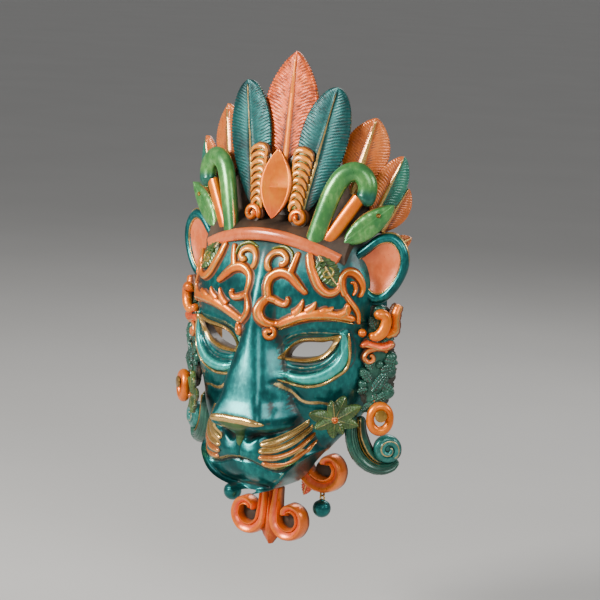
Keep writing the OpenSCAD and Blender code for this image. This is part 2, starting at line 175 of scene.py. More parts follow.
LIP = curve([(0, 86), (9, 85.4), (17, 82.6), (25, 79.4), (33, 79.2), (38.6, 82.6), (42, 87.4), (46, 95)])
JAW_LINE = curve([(28, 66), (36, 75), (43, 84), (49, 93)])
NOSTRIL = curve([(8.5, 103), (14, 106.5), (21.5, 109)])


def dome_at(ax, z):
    """The plain dome: its height times (1 - |x / half width|^3)^(1/3), a rounded box in plan."""
    out = np.minimum(1, ax / table(z, HALF_WIDTH))
    return DOME * table(z, DOME_SHARE) * np.maximum(0, 1 - out ** 3) ** (1 / 3)


def relief(x, z, worked=True):
    """Depth of the face at (x, z). A dome that is a rounded box in plan, a rounded muzzle and a flat-topped
    bridge are blended by their larger; sockets, folds, creases, crescents, nostrils and lips are added as
    bells round lines."""
    ax = abs(x)
    reach = np.where(z < MUZZLE_MID, 42.5, 46)
    muzzle = MUZZLE * np.maximum(0.001, 1 - (ax / 55) ** 2.5 - (abs(z - MUZZLE_MID) / reach) ** 2.5) ** 0.4
    flat = table(z, BRIDGE_HALF)
    beyond = np.sqrt(ax ** 2 + 30) - flat - 3
    past = 0.5 * (beyond + np.sqrt(beyond ** 2 + 25))
    crest = 1.4 * (1 - np.exp(-(ax / (flat + 3)) ** 2))
    bridge = table(z, BRIDGE) - table(z, BRIDGE_FALL) * past ** 1.6 - crest
    d = soft_max(soft_max(dome_at(ax, z), muzzle, 9), bridge, 4)
    d = d - 8 * hump(ax, z, 44, 178, 26, 15) - 3 * hump(ax, z, 66, 135, 16, 16)
    if not worked:
        return np.maximum(6, d)
    brow = table(ax, BROW_EDGE)
    d = d - 2.6 * smooth(1.5, -1.0, z - brow) * smooth(-26, -12, z - brow) * smooth(12, 22, ax)
    far, t = near(ax, z, CRESCENT)
    width = 6.2 * np.sqrt(np.clip(np.sin(np.pi * np.clip(0.12 + 0.8 * t, 0, 1)), 0, 1))
    d = d + 2.8 * np.sqrt(np.clip(1 - (far / width) ** 2, 0, 1)) * smooth(0, 0.15, t)
    far, t = near(ax, z, UNDER_EYE)
    d = d + (0.9 * np.exp(-(far / 1.3) ** 2) - 0.8 * np.exp(-((far - 3) / 1.4) ** 2)) * smooth(0, 0.16, t)
    far, t = near(ax, z, LID_FOLD)
    d = d + 1.5 * np.exp(-(far / 2.2) ** 2) * smooth(0, 0.25, t)
    far, t = near(ax, z, CHEEK_CREASE)
    d = d - 1.4 * np.exp(-((far - 1.2) / 1.8) ** 2) * (1 - 0.6 * t)
    far, _ = near(ax, z, MUZZLE_CREASE)
    d = d - 0.9 * np.exp(-((far - 1) / 1.6) ** 2)
    far, t = near(ax, z, NOSE_GROOVE)
    d = d - 3.0 * np.exp(-(far / 3.2) ** 2) * smooth(0, 0.4, t)
    d = d + 2.0 * hump(ax, z, 20.5, 113, 6, 8)
    far, _ = near(ax, z, NOSTRIL)
    d = d - 6.0 * np.exp(-(far / 2.6) ** 2)
    d = d - 1.8 * np.exp(-(x / 1.1) ** 2) * smooth(80, 86, z) * smooth(99, 94, z)
    far, _ = near(ax, z, MOUTH)
    lip = table(ax, [(0, 84.5), (9, 84), (17, 81), (25, 77.8), (33, 77.6), (39, 81.2), (46, 94)])
    d = d - 3.0 * np.exp(-(far / 2.0) ** 2) - 3.5 * smooth(2, -2, z - lip) * smooth(50, 40, ax)
    d = d + 2.2 * hump(ax, z, 12, 91, 12, 6) + 2.0 * hump(x, z, 0, 69, 22, 8)
    return np.maximum(6, d)


def rim_depth(z):
    """Depth of the shell's back edge: flat against the wall above the jaw, then forward to the chin."""
    return RIM_STEP * smooth(140, 92, z)


def shell_grid(rows=221, columns=191):
    """The shell's grid: across, it runs round a rounded box in plan (sides s, front c, with |s|^3 + |c|^3 =
    1) whose back edges lie at the rim. Returns x, z, the front share c and the half width."""
    z = np.linspace(FACE_FOOT, FACE_TOP, rows)[:, None] * np.ones((1, columns))
    a = np.radians(np.linspace(-90, 90, columns))[None] * np.ones((rows, 1))
    r = (abs(np.sin(a)) ** 3 + abs(np.cos(a)) ** 3) ** (1 / 3)
    s, c = np.sin(a) / r, np.cos(a) / r
    w = table(z, HALF_WIDTH)
    return w * s, z, c, w


def shell_outside(x, z, c):
    """Depth of the outside: from the rim to the dome's height by c, with what the worked relief stands
    above the plain dome added towards the front."""
    rim = rim_depth(z)
    dome = rim + (DOME * table(z, DOME_SHARE) - rim) * c
    return dome + (relief(x, z) - dome_at(abs(x), z)) * smooth(0, 0.35, c)


# ---- places: each turns (across, up, lift) in a piece's own plane into (x, depth, z) ----

def on_face(a, b, h):
    """Lifts a point off the face along the plain face's own slope: (x, d, z) + h (-dd/dx, 1, -dd/dz), made
    unit."""
    e = 0.8
    d = relief(a, b, False)
    soft = 0.5 * relief(a, b) + 0.5 * d
    gx = (relief(a + e, b, False) - relief(a - e, b, False)) / (2 * e)
    gz = (relief(a, b + e, False) - relief(a, b - e, False)) / (2 * e)
    k = h / np.sqrt(1 + gx ** 2 + gz ** 2)
    return np.stack([a - gx * k, np.maximum(soft, relief(a, b)) + k, b - gz * k], -1)


CROWN_R, CROWN_LEAN, CROWN_FRONT, CROWN_BASE = 160.0, math.radians(6), 36.0, 275.0


def crown_at(x, z, lift=0.0, splay=0.0):
    """A plane that touches the curved crown board at x, leans back with it and is turned by splay."""
    yaw, turn = math.asin(x / CROWN_R), math.radians(splay)

    def place(a, b, h):
        a, b = a * math.cos(turn) + b * math.sin(turn), -a * math.sin(turn) + b * math.cos(turn)
        y = -(CROWN_R + lift + h)
        x1, y1 = a * math.cos(yaw) - y * math.sin(yaw), a * math.sin(yaw) + y * math.cos(yaw) + CROWN_R
        z1 = z - CROWN_BASE + b
        y2 = y1 * math.cos(CROWN_LEAN) + z1 * math.sin(CROWN_LEAN)
        z2 = -y1 * math.sin(CROWN_LEAN) + z1 * math.cos(CROWN_LEAN)
        return np.stack([x1, CROWN_FRONT - y2, CROWN_BASE + z2], -1)
    return place


def plane_at(x, depth, z, yaw, splay=0.0):
    """A flat upright plane whose outer side turns back by yaw degrees."""
    c, s = math.cos(math.radians(yaw)), math.sin(math.radians(yaw))
    turn = math.radians(splay)

    def place(a, b, h):
        a, b = a * math.cos(turn) + b * math.sin(turn), -a * math.sin(turn) + b * math.cos(turn)
        return np.stack([x + a * c + h * s, depth - a * s + h * c, z + b], -1)
    return place


SIDE_YAW, SIDE_ACROSS, SIDE_DEPTH = 40, 84, 24


def side_at(x, z, lift=0.0, splay=0.0):
    """The plane of the side ornaments, turned back by SIDE_YAW, with its origin at x along it and z up."""
    c, s = math.cos(math.radians(SIDE_YAW)), math.sin(math.radians(SIDE_YAW))
    return plane_at(SIDE_ACROSS + x * c + lift * s, SIDE_DEPTH - x * s + lift * c, z, SIDE_YAW, splay)


# ---- sheets: grids of points with how gilded, how dark and how toned each point is ----

def sheet(points, gilt=0.0, dark=0.0, tone=0.0, looped=False, paint=0):
    """A grid (along, around, 3) with its three paint fields; it closes around, and along too if looped."""
    full = points.shape[:2]
    return {"p": points, "gilt": np.broadcast_to(gilt, full), "dark": np.broadcast_to(dark, full),
            "tone": np.broadcast_to(tone, full), "looped": looped, "paint": paint}


def faces_of(n, m, looped):
    """Quads of a grid of n rings of m points, and one face on each end where the rings don't loop."""
    i, j = np.meshgrid(np.arange(n if looped else n - 1), np.arange(m), indexing="ij")
    i1, j1 = (i + 1) % n, (j + 1) % m
    quads = np.stack([i * m + j, i * m + j1, i1 * m + j1, i1 * m + j], -1).reshape(-1, 4)
    return quads, [] if looped else [np.arange(m)[::-1], (n - 1) * m + np.arange(m)]


def volume_of(p, quads, ends):
    """Signed volume of a closed set of quads and end faces, by the sum of corner tetrahedra."""
    c = p.mean(0)
    a, b, d, e = (p[quads[:, k]] - c for k in range(4))
    v = np.einsum("ij,ij->i", a, np.cross(b, d)).sum() + np.einsum("ij,ij->i", a, np.cross(d, e)).sum()
    for end in ends:
        q = p[end] - c
        v += np.einsum("ij,ij->i", np.broadcast_to(q[0], q[1:-1].shape), np.cross(q[1:-1], q[2:])).sum()
    return v


def metres(p, mirror=1):
    """Points given as (across, depth, up) in millimetres, in the frame's metres."""
    return np.stack([mirror * p[:, 0] * MM, -p[:, 1] * MM, FOOT + p[:, 2] * MM], 1)


def dress(mesh, node, fields, kinds, paints, crease, body):
    """Gives a mesh its paints and paint fields, and makes it an object that rides on a body and stands for a
    CAD node."""
    for paint in paints:
        mesh.materials.append(paint)
    mesh.polygons.foreach_set("material_index", kinds.astype(np.int32))
    for k, field in enumerate(("gilt", "dark", "tone")):
        layer = mesh.attributes.new(field, "FLOAT", "POINT")
        layer.data.foreach_set("value", fields[:, k].astype(np.float32))
    mesh.update(calc_edges=True)
    mesh.validate()
    mesh.polygons.foreach_set("use_smooth", np.ones(len(mesh.polygons), bool))
    mesh.set_sharp_from_angle(angle=math.radians(crease))
    thing = bpy.data.objects.new(mesh.name, mesh)
    bpy.context.scene.collection.objects.link(thing)
    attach(thing, body)
    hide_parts(node)


def piece(name, sheets, node, paints, mirror=1, body=MASK, crease=40):
    """Joins sheets into one mesh that rides on a body and stands for a CAD node."""
    points, fields, sizes, corners, kinds, base = [], [], [], [], [], 0
    for s in sheets:
        n, m = s["p"].shape[:2]
        xyz = metres(s["p"].reshape(-1, 3), mirror)
        quads, ends = faces_of(n, m, s["looped"])
        if volume_of(xyz, quads, ends) < 0:
            quads, ends = quads[:, ::-1], [e[::-1] for e in ends]
        count = [4] * len(quads) + [len(e) for e in ends]
        corners.append(np.concatenate([quads.reshape(-1)] + ends) + base)
        sizes.append(np.array(count))
        kinds.append(np.full(len(count), s["paint"]))
        points.append(xyz)
        fields.append(np.stack([s["gilt"].reshape(-1), s["dark"].reshape(-1), s["tone"].reshape(-1)], 1))
        base += len(xyz)
    points, corners, sizes = np.concatenate(points), np.concatenate(corners), np.concatenate(sizes)
    mesh = bpy.data.meshes.new(name)
    mesh.vertices.add(len(points))
    mesh.vertices.foreach_set("co", points.astype(np.float32).reshape(-1))
    mesh.loops.add(len(corners))
    mesh.loops.foreach_set("vertex_index", corners.astype(np.int32))
    mesh.polygons.add(len(sizes))
    first = np.concatenate([[0], np.cumsum(sizes)[:-1]])
    mesh.polygons.foreach_set("loop_start", first.astype(np.int32))
    dress(mesh, node, np.concatenate(fields), np.concatenate(kinds), paints, crease, body)


def pair(name, sheets, paints, body=None, node=None):
    """A right piece and its mirror image, each for its own CAD node and, where it moves, on its own body."""
    for side, mirror in BOTH:
        on = f"{body}_{side}" if body else MASK
        piece(f"{name}_{side}", sheets, f"{node or name}_{side}", paints, mirror, on)


def rounded(run, total, start, end):
    """Share of the full width at a run along a bar whose ends are round noses of these lengths."""
    a = np.sqrt(np.clip(1 - np.clip(1 - run / max(start, 1e-6), 0, 1) ** 2, 0, 1)) if start else 1
    b = np.sqrt(np.clip(1 - np.clip(1 - (total - run) / max(end, 1e-6), 0, 1) ** 2, 0, 1)) if end else 1
    return np.maximum(a * b, 0.02)


# Sections of a carved bar are rows of (across, height, gilt, dark, tone), from the outer foot over the top
# to the inner one. The dark is highest at the feet, where the part meets the surface: patina with painted
# shade.
def half_round(n=13, sunk=-0.25):
    """A half circle (cos a, sin a) on a foot sunk below it."""
    a = np.linspace(0, np.pi, n)
    q, r = np.cos(a), np.sin(a)
    top = np.stack([q, r, np.zeros(n), smooth(0.5, 0.0, r), np.zeros(n)], 1)
    foot = np.array([[-0.9, sunk, 0, 1, 0], [0.9, sunk, 0, 1, 0]])
    return np.vstack([top, foot])


def full_round(n=20):
    """A whole circle that stands on 0: (cos a, (1 + sin a) / 2)."""
    a = np.linspace(0, 2 * np.pi, n, endpoint=False)
    r = 0.5 + 0.5 * np.sin(a)
    return np.stack([np.cos(a), r, 0 * r, smooth(0.3, -0.2, r), 0 * r], 1)


def bar(place, line, width, height, section, noses=(3, 3), closed=False, gilt=0.0, tone=0.0, lift=0.0,
        paint=0, dark=1.0, wave=0.0, flip=False):
    """A section (q across, r up) carried along a line in a plane: each point is the line's point plus q times
    the half width to its side, lifted by r times the height. Width and height follow given values along the
    line and fall off over the noses. On the face the width is shortened where the face turns away."""
    side, run = sides_of(line, closed)
    t = run / run[-1]
    w = np.interp(t, np.linspace(0, 1, len(np.atleast_1d(width))), np.atleast_1d(width)) / 2
    h = np.interp(t, np.linspace(0, 1, len(np.atleast_1d(height))), np.atleast_1d(height))
    if not closed:
        nose = rounded(run, run[-1], *noses)
        w, h = w * nose, h * np.maximum(nose, 0.15)
    if wave:
        w = w * (1 + wave * ripple(run * 0.45, run * 0.2, w[0]))
    q, r = section[:, 0][None], section[:, 1][None]
    if flip:
        q = -q
    if place is on_face:
        x, z = line[:, 0], line[:, 1]
        lean = (relief(x + 1, z, False) - relief(x - 1, z, False)) / 2
        side = side * np.stack([1 / np.sqrt(1 + lean ** 2), np.ones(len(line))], 1)
    a = line[:, :1] + side[:, :1] * w[:, None] * q
    b = line[:, 1:] + side[:, 1:] * w[:, None] * q
    full = np.zeros((len(line), len(section)))
    return sheet(place(a, b, lift + h[:, None] * r), section[:, 2][None] + gilt + full,
                 section[:, 3][None] * dark + full, section[:, 4][None] + tone + full, closed, paint)


def thread(place, line, width=1.3, height=1.1, lift=0.0, gilt=1.0, noses=(4, 4), paint=0, dark=0.35):
    """A thin gilded line raised on a surface."""
    return bar(place, line, width, height, half_round(7, -0.6), noses, gilt=gilt, lift=lift, paint=paint,
               dark=dark)


def rib(*rows):
    """A section given by its corners (across, height, gilt, dark, tone)."""
    return np.array(rows, float)


BEVEL = rib((1, 0, 0, 1, 0), (1, 0.5, 0, 0.8, 0), (0.84, 0.82, 0.3, 0.1, 0), (0.5, 0.97, 0, 0, 0),
            (0, 1, 0, 0, 0), (-0.5, 0.97, 0, 0, 0), (-0.84, 0.82, 0.3, 0.1, 0), (-1, 0.5, 0, 0.8, 0),
            (-1, 0, 0, 1, 0))
CARVED = rib((1.38, -0.5, 0, 1.2, 0), (1.38, 0.02, 0, 1.2, 0), (1.16, 0.1, 0, 1.2, 0),
             (1.0, 0.24, 0, 1.1, 0), (0.94, 0.5, 0, 0.8, 0), (0.82, 0.74, 0.2, 0.3, 0),
             (0.6, 0.92, 0.6, 0, 0), (0.36, 1, 0.75, 0, 0), (0.1, 0.98, 0.2, 0, 0), (-0.2, 0.94, 0, 0, 0),
             (-0.5, 0.85, 0, 0, 0), (-0.78, 0.68, 0, 0.25, 0), (-0.93, 0.46, 0, 0.75, 0),
             (-1, 0.24, 0, 1.1, 0), (-1.16, 0.1, 0, 1.2, 0), (-1.38, 0.02, 0, 1.2, 0),
             (-1.38, -0.5, 0, 1.2, 0))
MOULD = rib((1, 0, 0, 1, 0), (1, 0.35, 0, 0.4, 0), (0.94, 0.7, 0, 0.1, 0), (0.8, 0.92, 0, 0, 0),
            (0.62, 1, 0.3, 0, 0), (0.4, 0.98, 0, 0, 0.2), (0.16, 0.93, 0, 0, 0.6), (-0.08, 0.86, 0, 0, 0.8),
            (-0.26, 0.78, 0, 0.25, 0.6), (-0.36, 0.72, 0, 0.7, 0.2), (-0.45, 0.77, 0, 0.4, 0),
            (-0.56, 0.9, 0.4, 0, 0), (-0.7, 0.93, 0.2, 0, 0), (-0.86, 0.74, 0, 0.3, 0),
            (-0.96, 0.36, 0, 0.8, 0), (-1, 0, 0, 1, 0))
SCALED = half_round(19)
SCALED[:, 1] += 0.09 * (np.arange(len(SCALED)) % 2)
ROUND, TUBE = half_round(), full_round()


# How high a barb rises from the quill, how soon it levels off (shares of the half width) and its last slope
BARB_RISE, BARB_BEND, BARB_SLOPE = 0.35, 0.27, 0.2


def leaf(t, tip, power):
    """Half width of a leaf t of the way up: sin(pi t^tip)^power."""
    return np.maximum(0, np.sin(np.pi * t ** tip)) ** power


def plume(place, length, width, tip=1.0, stem=2.0, thick=4.0, pitch=2.6, quill=(1.6, 1.5), barb=0.55,
          serrate=0.04, lift=0.0, tone=0.0, halves=(0.0, 0.0), cup=0.6, columns=45, gilt=0.2, dark=0.9,
          paint=0, power=0.75, crest_highlight=0.0, quill_tone=None, quill_gilt=1.0, rim=0.3):
    """A leaf or feather. Its half width follows the sine of the way up, raised to a power; its top is a low
    dome with a flat-topped quill along the middle. Barbs leave the quill steeply and level off outwards, so
    they are cosines of (way up - a rise that settles over the way out) over their pitch, uneven in
    strength, and they notch the edge. The underside is flat."""
    rows = int(min(270, max(40, length / 0.5)))
    s = np.linspace(0, 1, rows)[:, None]
    u = 0.4 * s + 0.6 * np.sin(s * np.pi / 2)
    v = np.sin(np.linspace(-1, 1, columns) * np.pi / 2 * 0.94)[None] / math.sin(np.pi / 2 * 0.94)
    half = width / 2
    w = np.maximum(np.maximum(stem * (1 - u), half * leaf(u, tip, power)), 0.05)
    out, b0 = abs(v) * w, u * length
    sweep = BARB_RISE * half * (1 - np.exp(-out / (BARB_BEND * half))) + BARB_SLOPE * out
    drift = 0.22 * pitch * ripple(0.13 * b0 + np.sign(v), 0.22 * out, width)
    barbed = 0.5 + 0.5 * np.cos(2 * np.pi * (b0 - sweep + drift) / pitch)
    uneven = 0.65 + 0.45 * ripple(0.34 * b0 + 2 * np.sign(v), 0.3 * out, length)
    inside = smooth(0.04, 0.2, out / half) * smooth(0, 0.06, u) * smooth(1, 0.94, u) * uneven
    a = v * w * (1 + serrate * (barbed - 0.5) * abs(v) ** 4 * smooth(0, 0.15, u))
    b = b0 + 0 * v
    foot = quill[0] * (1.5 - 1.1 * u)
    stalk = np.exp(-(out / foot) ** 4) * smooth(1, 0.93, u)
    beside = smooth(0.8, 1.1, out / foot) * smooth(3.4, 1.6, out / foot)
    h = thick * (0.35 + 0.65 * (1 - abs(v) ** 2.6) ** 0.5) - cup * np.exp(-(out / (0.12 * width + 1)) ** 2)
    h = h + quill[1] * stalk + barb * (barbed - 0.55) * inside + rim * smooth(0.88, 0.97, abs(v))
    gilded = quill_gilt * stalk + gilt * barbed ** 3 * inside + 0.45 * smooth(0.93, 1, abs(v))
    # Darker in the barb grooves, beside the quill and towards the foot: patina with painted shade.
    groove_patina_and_shade = dark * ((1 - barbed) ** 2 * inside * 0.95 + 0.62 * beside * (1.1 - 0.5 * u) + 0.3
                     * smooth(0.25, 0, u))
    # The barb crests are made lighter: a painted highlight.
    toned = np.where(v < 0, halves[0], halves[1]) + tone + crest_highlight * barbed ** 2 * inside + 0 * s
    if quill_tone is not None:
        toned = toned * (1 - stalk) + quill_tone * stalk
    flat = np.linspace(1, -1, 7)[None]
    under = place(flat * w * 0.97, b0 + 0 * flat, lift + 0 * flat * u)
    points = np.concatenate([place(a, b, lift + h), under], 1)

    def whole(f, value):
        return np.concatenate([np.clip(f, 0, 1) + np.zeros((rows, columns)), np.full((rows, 7), value)], 1)
    return sheet(points, whole(gilded, 0), whole(groove_patina_and_shade * (1 - stalk), 1), whole(toned, tone), paint=paint)


def boss(place, outline, profile, centre=(0.0, 0.0), gilt=0.0, dark=0.0, tone=0.0, lobes=(0, 0.0), paint=0,
         soften=0):
    """A turned or carved lump: rings of one outline, shrunk and lifted as the profile (share, height) says.
    The first and last rings are near points, so both ends close. Where soften is given, the profile is a
    smooth line."""
    outline = np.asarray(outline, float) - centre
    prof = curve(profile, soften) if soften else np.array(profile, float)
    share, height = prof[:, 0][:, None], prof[:, 1][:, None]
    share = np.maximum(share, 0.004)
    ang = np.arctan2(outline[:, 1], outline[:, 0])[None]
    swell = 1 + lobes[1] * np.cos(lobes[0] * ang) * share
    a = centre[0] + outline[:, 0][None] * share * swell
    b = centre[1] + outline[:, 1][None] * share * swell
    h = height + 0 * a
    # The lowest rings are darkened: patina with painted shade where the lump meets what it stands on.
    shown = (smooth(0.25, 0, (height - height.min()) / (np.ptp(height) + 1e-9)) + 0 * a) * dark
    return sheet(place(a, b, h), gilt + 0 * a, shown, tone + 0 * a, paint=paint)


def circle(r, n, cx=0.0, cz=0.0):
    """n points round (cx, cz): (cx + r cos a, cz + r sin a)."""
    t = np.linspace(0, 2 * np.pi, n, endpoint=False)
    return np.stack([cx + r * np.cos(t), cz + r * np.sin(t)], 1)


def twin(sheets):
    """The sheets and their mirror images in the middle plane."""
    flipped = [dict(s, p=s["p"] * np.array([-1, 1, 1])) for s in sheets]
    return sheets + flipped


# ---- finishes ----

def tint(code):
    """A colour from its six-figure code, made linear."""
    c = np.array([int(code[k:k + 2], 16) for k in (0, 2, 4)]) / 255
    return tuple(np.where(c <= 0.04045, c / 12.92, ((c + 0.055) / 1.055) ** 2.4)) + (1.0,)


class Wire:
    """A socket that adds Math nodes when it is used in a sum."""

    def __init__(self, paint, socket):
        self.paint, self.socket = paint, socket

    def sum(self, operation, other, swap=False):
        """One Math node on this socket and another value, in that order or swapped."""
        pair = [other, self] if swap else [self, other]
        return self.paint.node("ShaderNodeMath", {"operation": operation}, pair)

    def __add__(self, other):
        return self.sum("ADD", other)

    def __radd__(self, other):
        return self.sum("ADD", other, True)

    def __sub__(self, other):
        return self.sum("SUBTRACT", other)

    def __rsub__(self, other):
        return self.sum("SUBTRACT", other, True)

    def __mul__(self, other):
        return self.sum("MULTIPLY", other)

    def __rmul__(self, other):
        return self.sum("MULTIPLY", other, True)


class Finish:
    """A material whose nodes are added one after the other."""

    def __init__(self, name):
        self.material = bpy.data.materials.new(name)
        self.material.use_nodes = True
        self.tree = self.material.node_tree
        self.tree.nodes.clear()
        self.out = self.tree.nodes.new("ShaderNodeOutputMaterial")
        self.shader = self.tree.nodes.new("ShaderNodeBsdfPrincipled")
        self.tree.links.new(self.shader.outputs[0], self.out.inputs[0])
        self.place = self.node("ShaderNodeTexCoord", {}, {}, "Object")

    def node(self, kind, settings, values, output=0):
        """A node of a kind: its settings are set first, then its sockets' values or links."""
        made = self.tree.nodes.new(kind)
        for key, value in settings.items():
            setattr(made, key, value)
        self.feed(made, values)
        return Wire(self, made.outputs[output])

    def feed(self, made, values):
        """Links or sets the sockets of a node, by name or by order."""
        for key, value in (values.items() if isinstance(values, dict) else enumerate(values)):
            if isinstance(value, Wire):
                self.tree.links.new(value.socket, made.inputs[key])
            else:
                made.inputs[key].default_value = value

    def field(self, name):
        """One of the piece's own paint fields."""
        return self.node("ShaderNodeAttribute", {"attribute_name": name}, {}, "Fac")

    def noise(self, scale, detail=3.0, rough=0.55, stretch=None):
        """Cloudy noise in the piece's own space, drawn out where stretch is given."""
        place = self.place
        if stretch:
            place = self.node("ShaderNodeMapping", {}, {"Vector": place, "Scale": stretch})
        return self.node("ShaderNodeTexNoise", {}, {"Vector": place, "Scale": scale, "Detail": detail,
                                                    "Roughness": rough})

    def step(self, value, low, high):
        """0 below low and 1 above high, smooth between."""
        return self.node("ShaderNodeMapRange", {"interpolation_type": "SMOOTHSTEP"},
                         {"Value": value, "From Min": low, "From Max": high})

    def mix(self, share, a, b):
        """A colour that goes from a to b by share."""
        return self.node("ShaderNodeMix", {"data_type": "RGBA"}, {0: share, 6: a, 7: b}, 2)

    def bump(self, height, distance, strength):
        """A surface normal tilted by the slope of a height."""
        return self.node("ShaderNodeBump", {}, {"Height": height, "Distance": distance, "Strength": strength})

    def finish(self, colour, rough, metal, normal, **fixed):
        """Feeds the shader what varies, and sets what is the same all over."""
        self.feed(self.shader, {"Base Color": colour, "Roughness": rough, "Metallic": metal,
                                "Normal": normal})
        for key, value in fixed.items():
            self.shader.inputs[key.replace("_", " ")].default_value = value
        return self.material


# The dark brown stands for patina and for painted shade alike.
GOLD, PALE_GOLD, PATINA_AND_SHADE = tint("c79a4e"), tint("e8c98a"), tint("2a1a10")


def lacquer(name, main, deep, bright, second=None, metal=0.3, rough=0.3, coat=0.35):
    """Bronzed lacquer on carved wood: the main colour drifts to a deep and a bright one in soft clouds and in
    brushed streaks; brown patina and painted shade fill what is marked dark, rubbed gold shows on what is
    marked gilt."""
    f = Finish(name)
    clouds = f.noise(38, 4, 0.6)
    streaks = f.noise(300, 4, 0.6, (1, 1, 0.6))
    grain = f.noise(1500, 2, 0.5)
    tone, dark, gilt = f.field("tone"), f.field("dark"), f.field("gilt")
    colour = f.mix(f.step(clouds, 0.38, 0.72) * 0.7, tint(main), tint(deep))
    colour = f.mix(f.step(streaks * 0.6 + clouds * -0.5 + 0.45, 0.45, 0.7) * 0.3, colour, tint(bright))
    # The tone field brings in the second colour: a second paint on some pieces, a painted highlight down the
    # nose and on barb crests.
    if second:
        other = f.mix(f.step(streaks, 0.4, 0.75) * 0.5, tint(second[0]), tint(second[1]))
        colour = f.mix(f.step(tone + (streaks - 0.5) * 0.3, 0.25, 0.75), colour, other)
    # Patina with painted shade: the dark field marks feet, grooves and hollows, where shade falls.
    patina_and_shade = f.step(dark + (streaks - 0.5) * 0.55, 0.25, 0.95)
    colour = f.mix(patina_and_shade * 0.86, colour, PATINA_AND_SHADE)
    specks = f.step(f.noise(900, 2, 0.7), 0.66, 0.74) * 0.5
    colour = f.mix(specks * f.step(dark, 0.0, 0.5), colour, PATINA_AND_SHADE)
    worn = f.step(gilt + (streaks - 0.5) * 0.7 + (clouds - 0.5) * 0.4, 0.35, 0.8)
    gold = f.mix(f.step(grain, 0.4, 0.7), GOLD, PALE_GOLD)
    colour = f.mix(worn * 0.92, colour, gold)
    shine = rough + (streaks - 0.5) * 0.18 + patina_and_shade * 0.28 - worn * 0.04
    metallic = metal * (1 - patina_and_shade) + worn * (0.85 - metal)
    normal = f.bump(streaks + grain * 0.35, 0.0003, 0.22)
    return f.finish(colour, shine, metallic, normal, Coat_Weight=coat, Coat_Roughness=0.14)


def bare_wood(name, main, deep, scale):
    """Bare or stained timber: rings drawn out along the grain, fine pores, matt."""
    f = Finish(name)
    rings = f.noise(30, 5, 0.6, scale)
    pores = f.noise(700, 3, 0.6, scale)
    colour = f.mix(f.step(rings, 0.35, 0.7), tint(main), tint(deep))
    colour = f.mix(f.step(pores, 0.55, 0.8) * 0.5, colour, tint(deep))
    normal = f.bump(pores + rings * 0.5, 0.0005, 0.5)
    return f.finish(colour, 0.6 + rings * 0.2, 0.0, normal)


def worked_metal(name, main, deep):
    """Drawn or pressed metal with a dull film and fine scratches."""
    f = Finish(name)
    film = f.noise(160, 4, 0.6)
    scratch = f.noise(900, 2, 0.6, (1, 1, 14))
    colour = f.mix(f.step(film, 0.4, 0.75) * 0.7, tint(main), tint(deep))
    normal = f.bump(scratch, 0.0002, 0.3)
    return f.finish(colour, 0.35 + film * 0.25, 0.9 + film * 0.05, normal)


TEAL = lacquer("teal_lacquer", "0c6160", "052a2f", "2cb0a8", ("35b8ad", "74dacd"), 0.74, 0.32, 0.18)
TEAL_DEEP = lacquer("deep_teal_lacquer", "0e4c4a", "061c20", "1f6f68", ("148482", "30a49e"), 0.6, 0.42, 0.08)
ORANGE = lacquer("orange_lacquer", "fa7a02", "c25208", "ffae28", ("e85824", "f88a48"), 0.5, 0.32, 0.15)
BEARD = lacquer("beard_lacquer", "fc7a1c", "d25c10", "ffb058", ("f0623a", "ff9068"), 0.4, 0.3, 0.25)
COPPER = lacquer("copper_lacquer", "d26a26", "8c3f16", "f29a4a", ("1f6b58", "4f9c7c"), 0.3, 0.33, 0.3)
CORAL = lacquer("coral_lacquer", "d8560c", "8a3208", "f08a38", ("f07c18", "ffa83c"), 0.3, 0.44, 0.1)
BAND_CORAL = lacquer("salmon_lacquer", "e06a30", "b4481e", "f89c62", None, 0.12, 0.3, 0.4)
GREEN = lacquer("green_lacquer", "55984c", "22603a", "b2e28c", ("1b5a4a", "3f8f78"), 0.45, 0.3, 0.25)
ACANTHUS = lacquer("acanthus_lacquer", "f28c14", "c05c0e", "ffb548", ("5f6c26", "93963f"), 0.18, 0.3, 0.4)
LEAF = lacquer("leaf_green_lacquer", "40602a", "1c341c", "8fa052", ("8a7a30", "c4ac50"), 0.3, 0.33, 0.3)
MOSS = lacquer("moss_lacquer", "235848", "0e2c26", "4c8a70", ("1a6f68", "4fb5a8"), 0.35, 0.33, 0.35)
GILT = lacquer("rubbed_gold", "b08436", "5f401c", "eac478", ("d67a36", "f5a464"), 0.7, 0.26, 0.2)
UMBER = lacquer("umber_stain", "453426", "20160f", "6c563f", None, 0.05, 0.55, 0.0)
PINE = bare_wood("bare_pine", "c79b62", "8f6534", (0.25, 6, 6))
STEEL = worked_metal("zinc_steel", "9b9c9c", "5c5f63")
BRASS = worked_metal("old_brass", "a9803d", "5c4020")


# ---- the face shell ----

def inside_outline(x, z, outline):
    """Whether points lie inside a closed outline, by counting crossings."""
    odd = np.zeros(x.shape, bool)
    for k in range(len(outline)):
        (x0, z0), (x1, z1) = outline[k - 1], outline[k]
        cross = (z0 > z) != (z1 > z)
        at = x0 + (z - z0) * (x1 - x0) / (z1 - z0 + 1e-12)
        odd ^= cross & (x < at)
    return odd


def pull_to(x, z, outline):
    """The nearest place on a closed outline to each point."""
    best, bx, bz = np.full(x.shape, 1e9), x.copy(), z.copy()
    for k in range(len(outline)):
        a, b = outline[k - 1], outline[k]
        e = b - a
        t = np.clip(((x - a[0]) * e[0] + (z - a[1]) * e[1]) / (e @ e + 1e-9), 0, 1)
        px, pz = a[0] + t * e[0], a[1] + t * e[1]
        dist = np.hypot(x - px, z - pz)
        closer = dist < best
        best, bx, bz = np.where(closer, dist, best), np.where(closer, px, bx), np.where(closer, pz, bz)
    return bx, bz


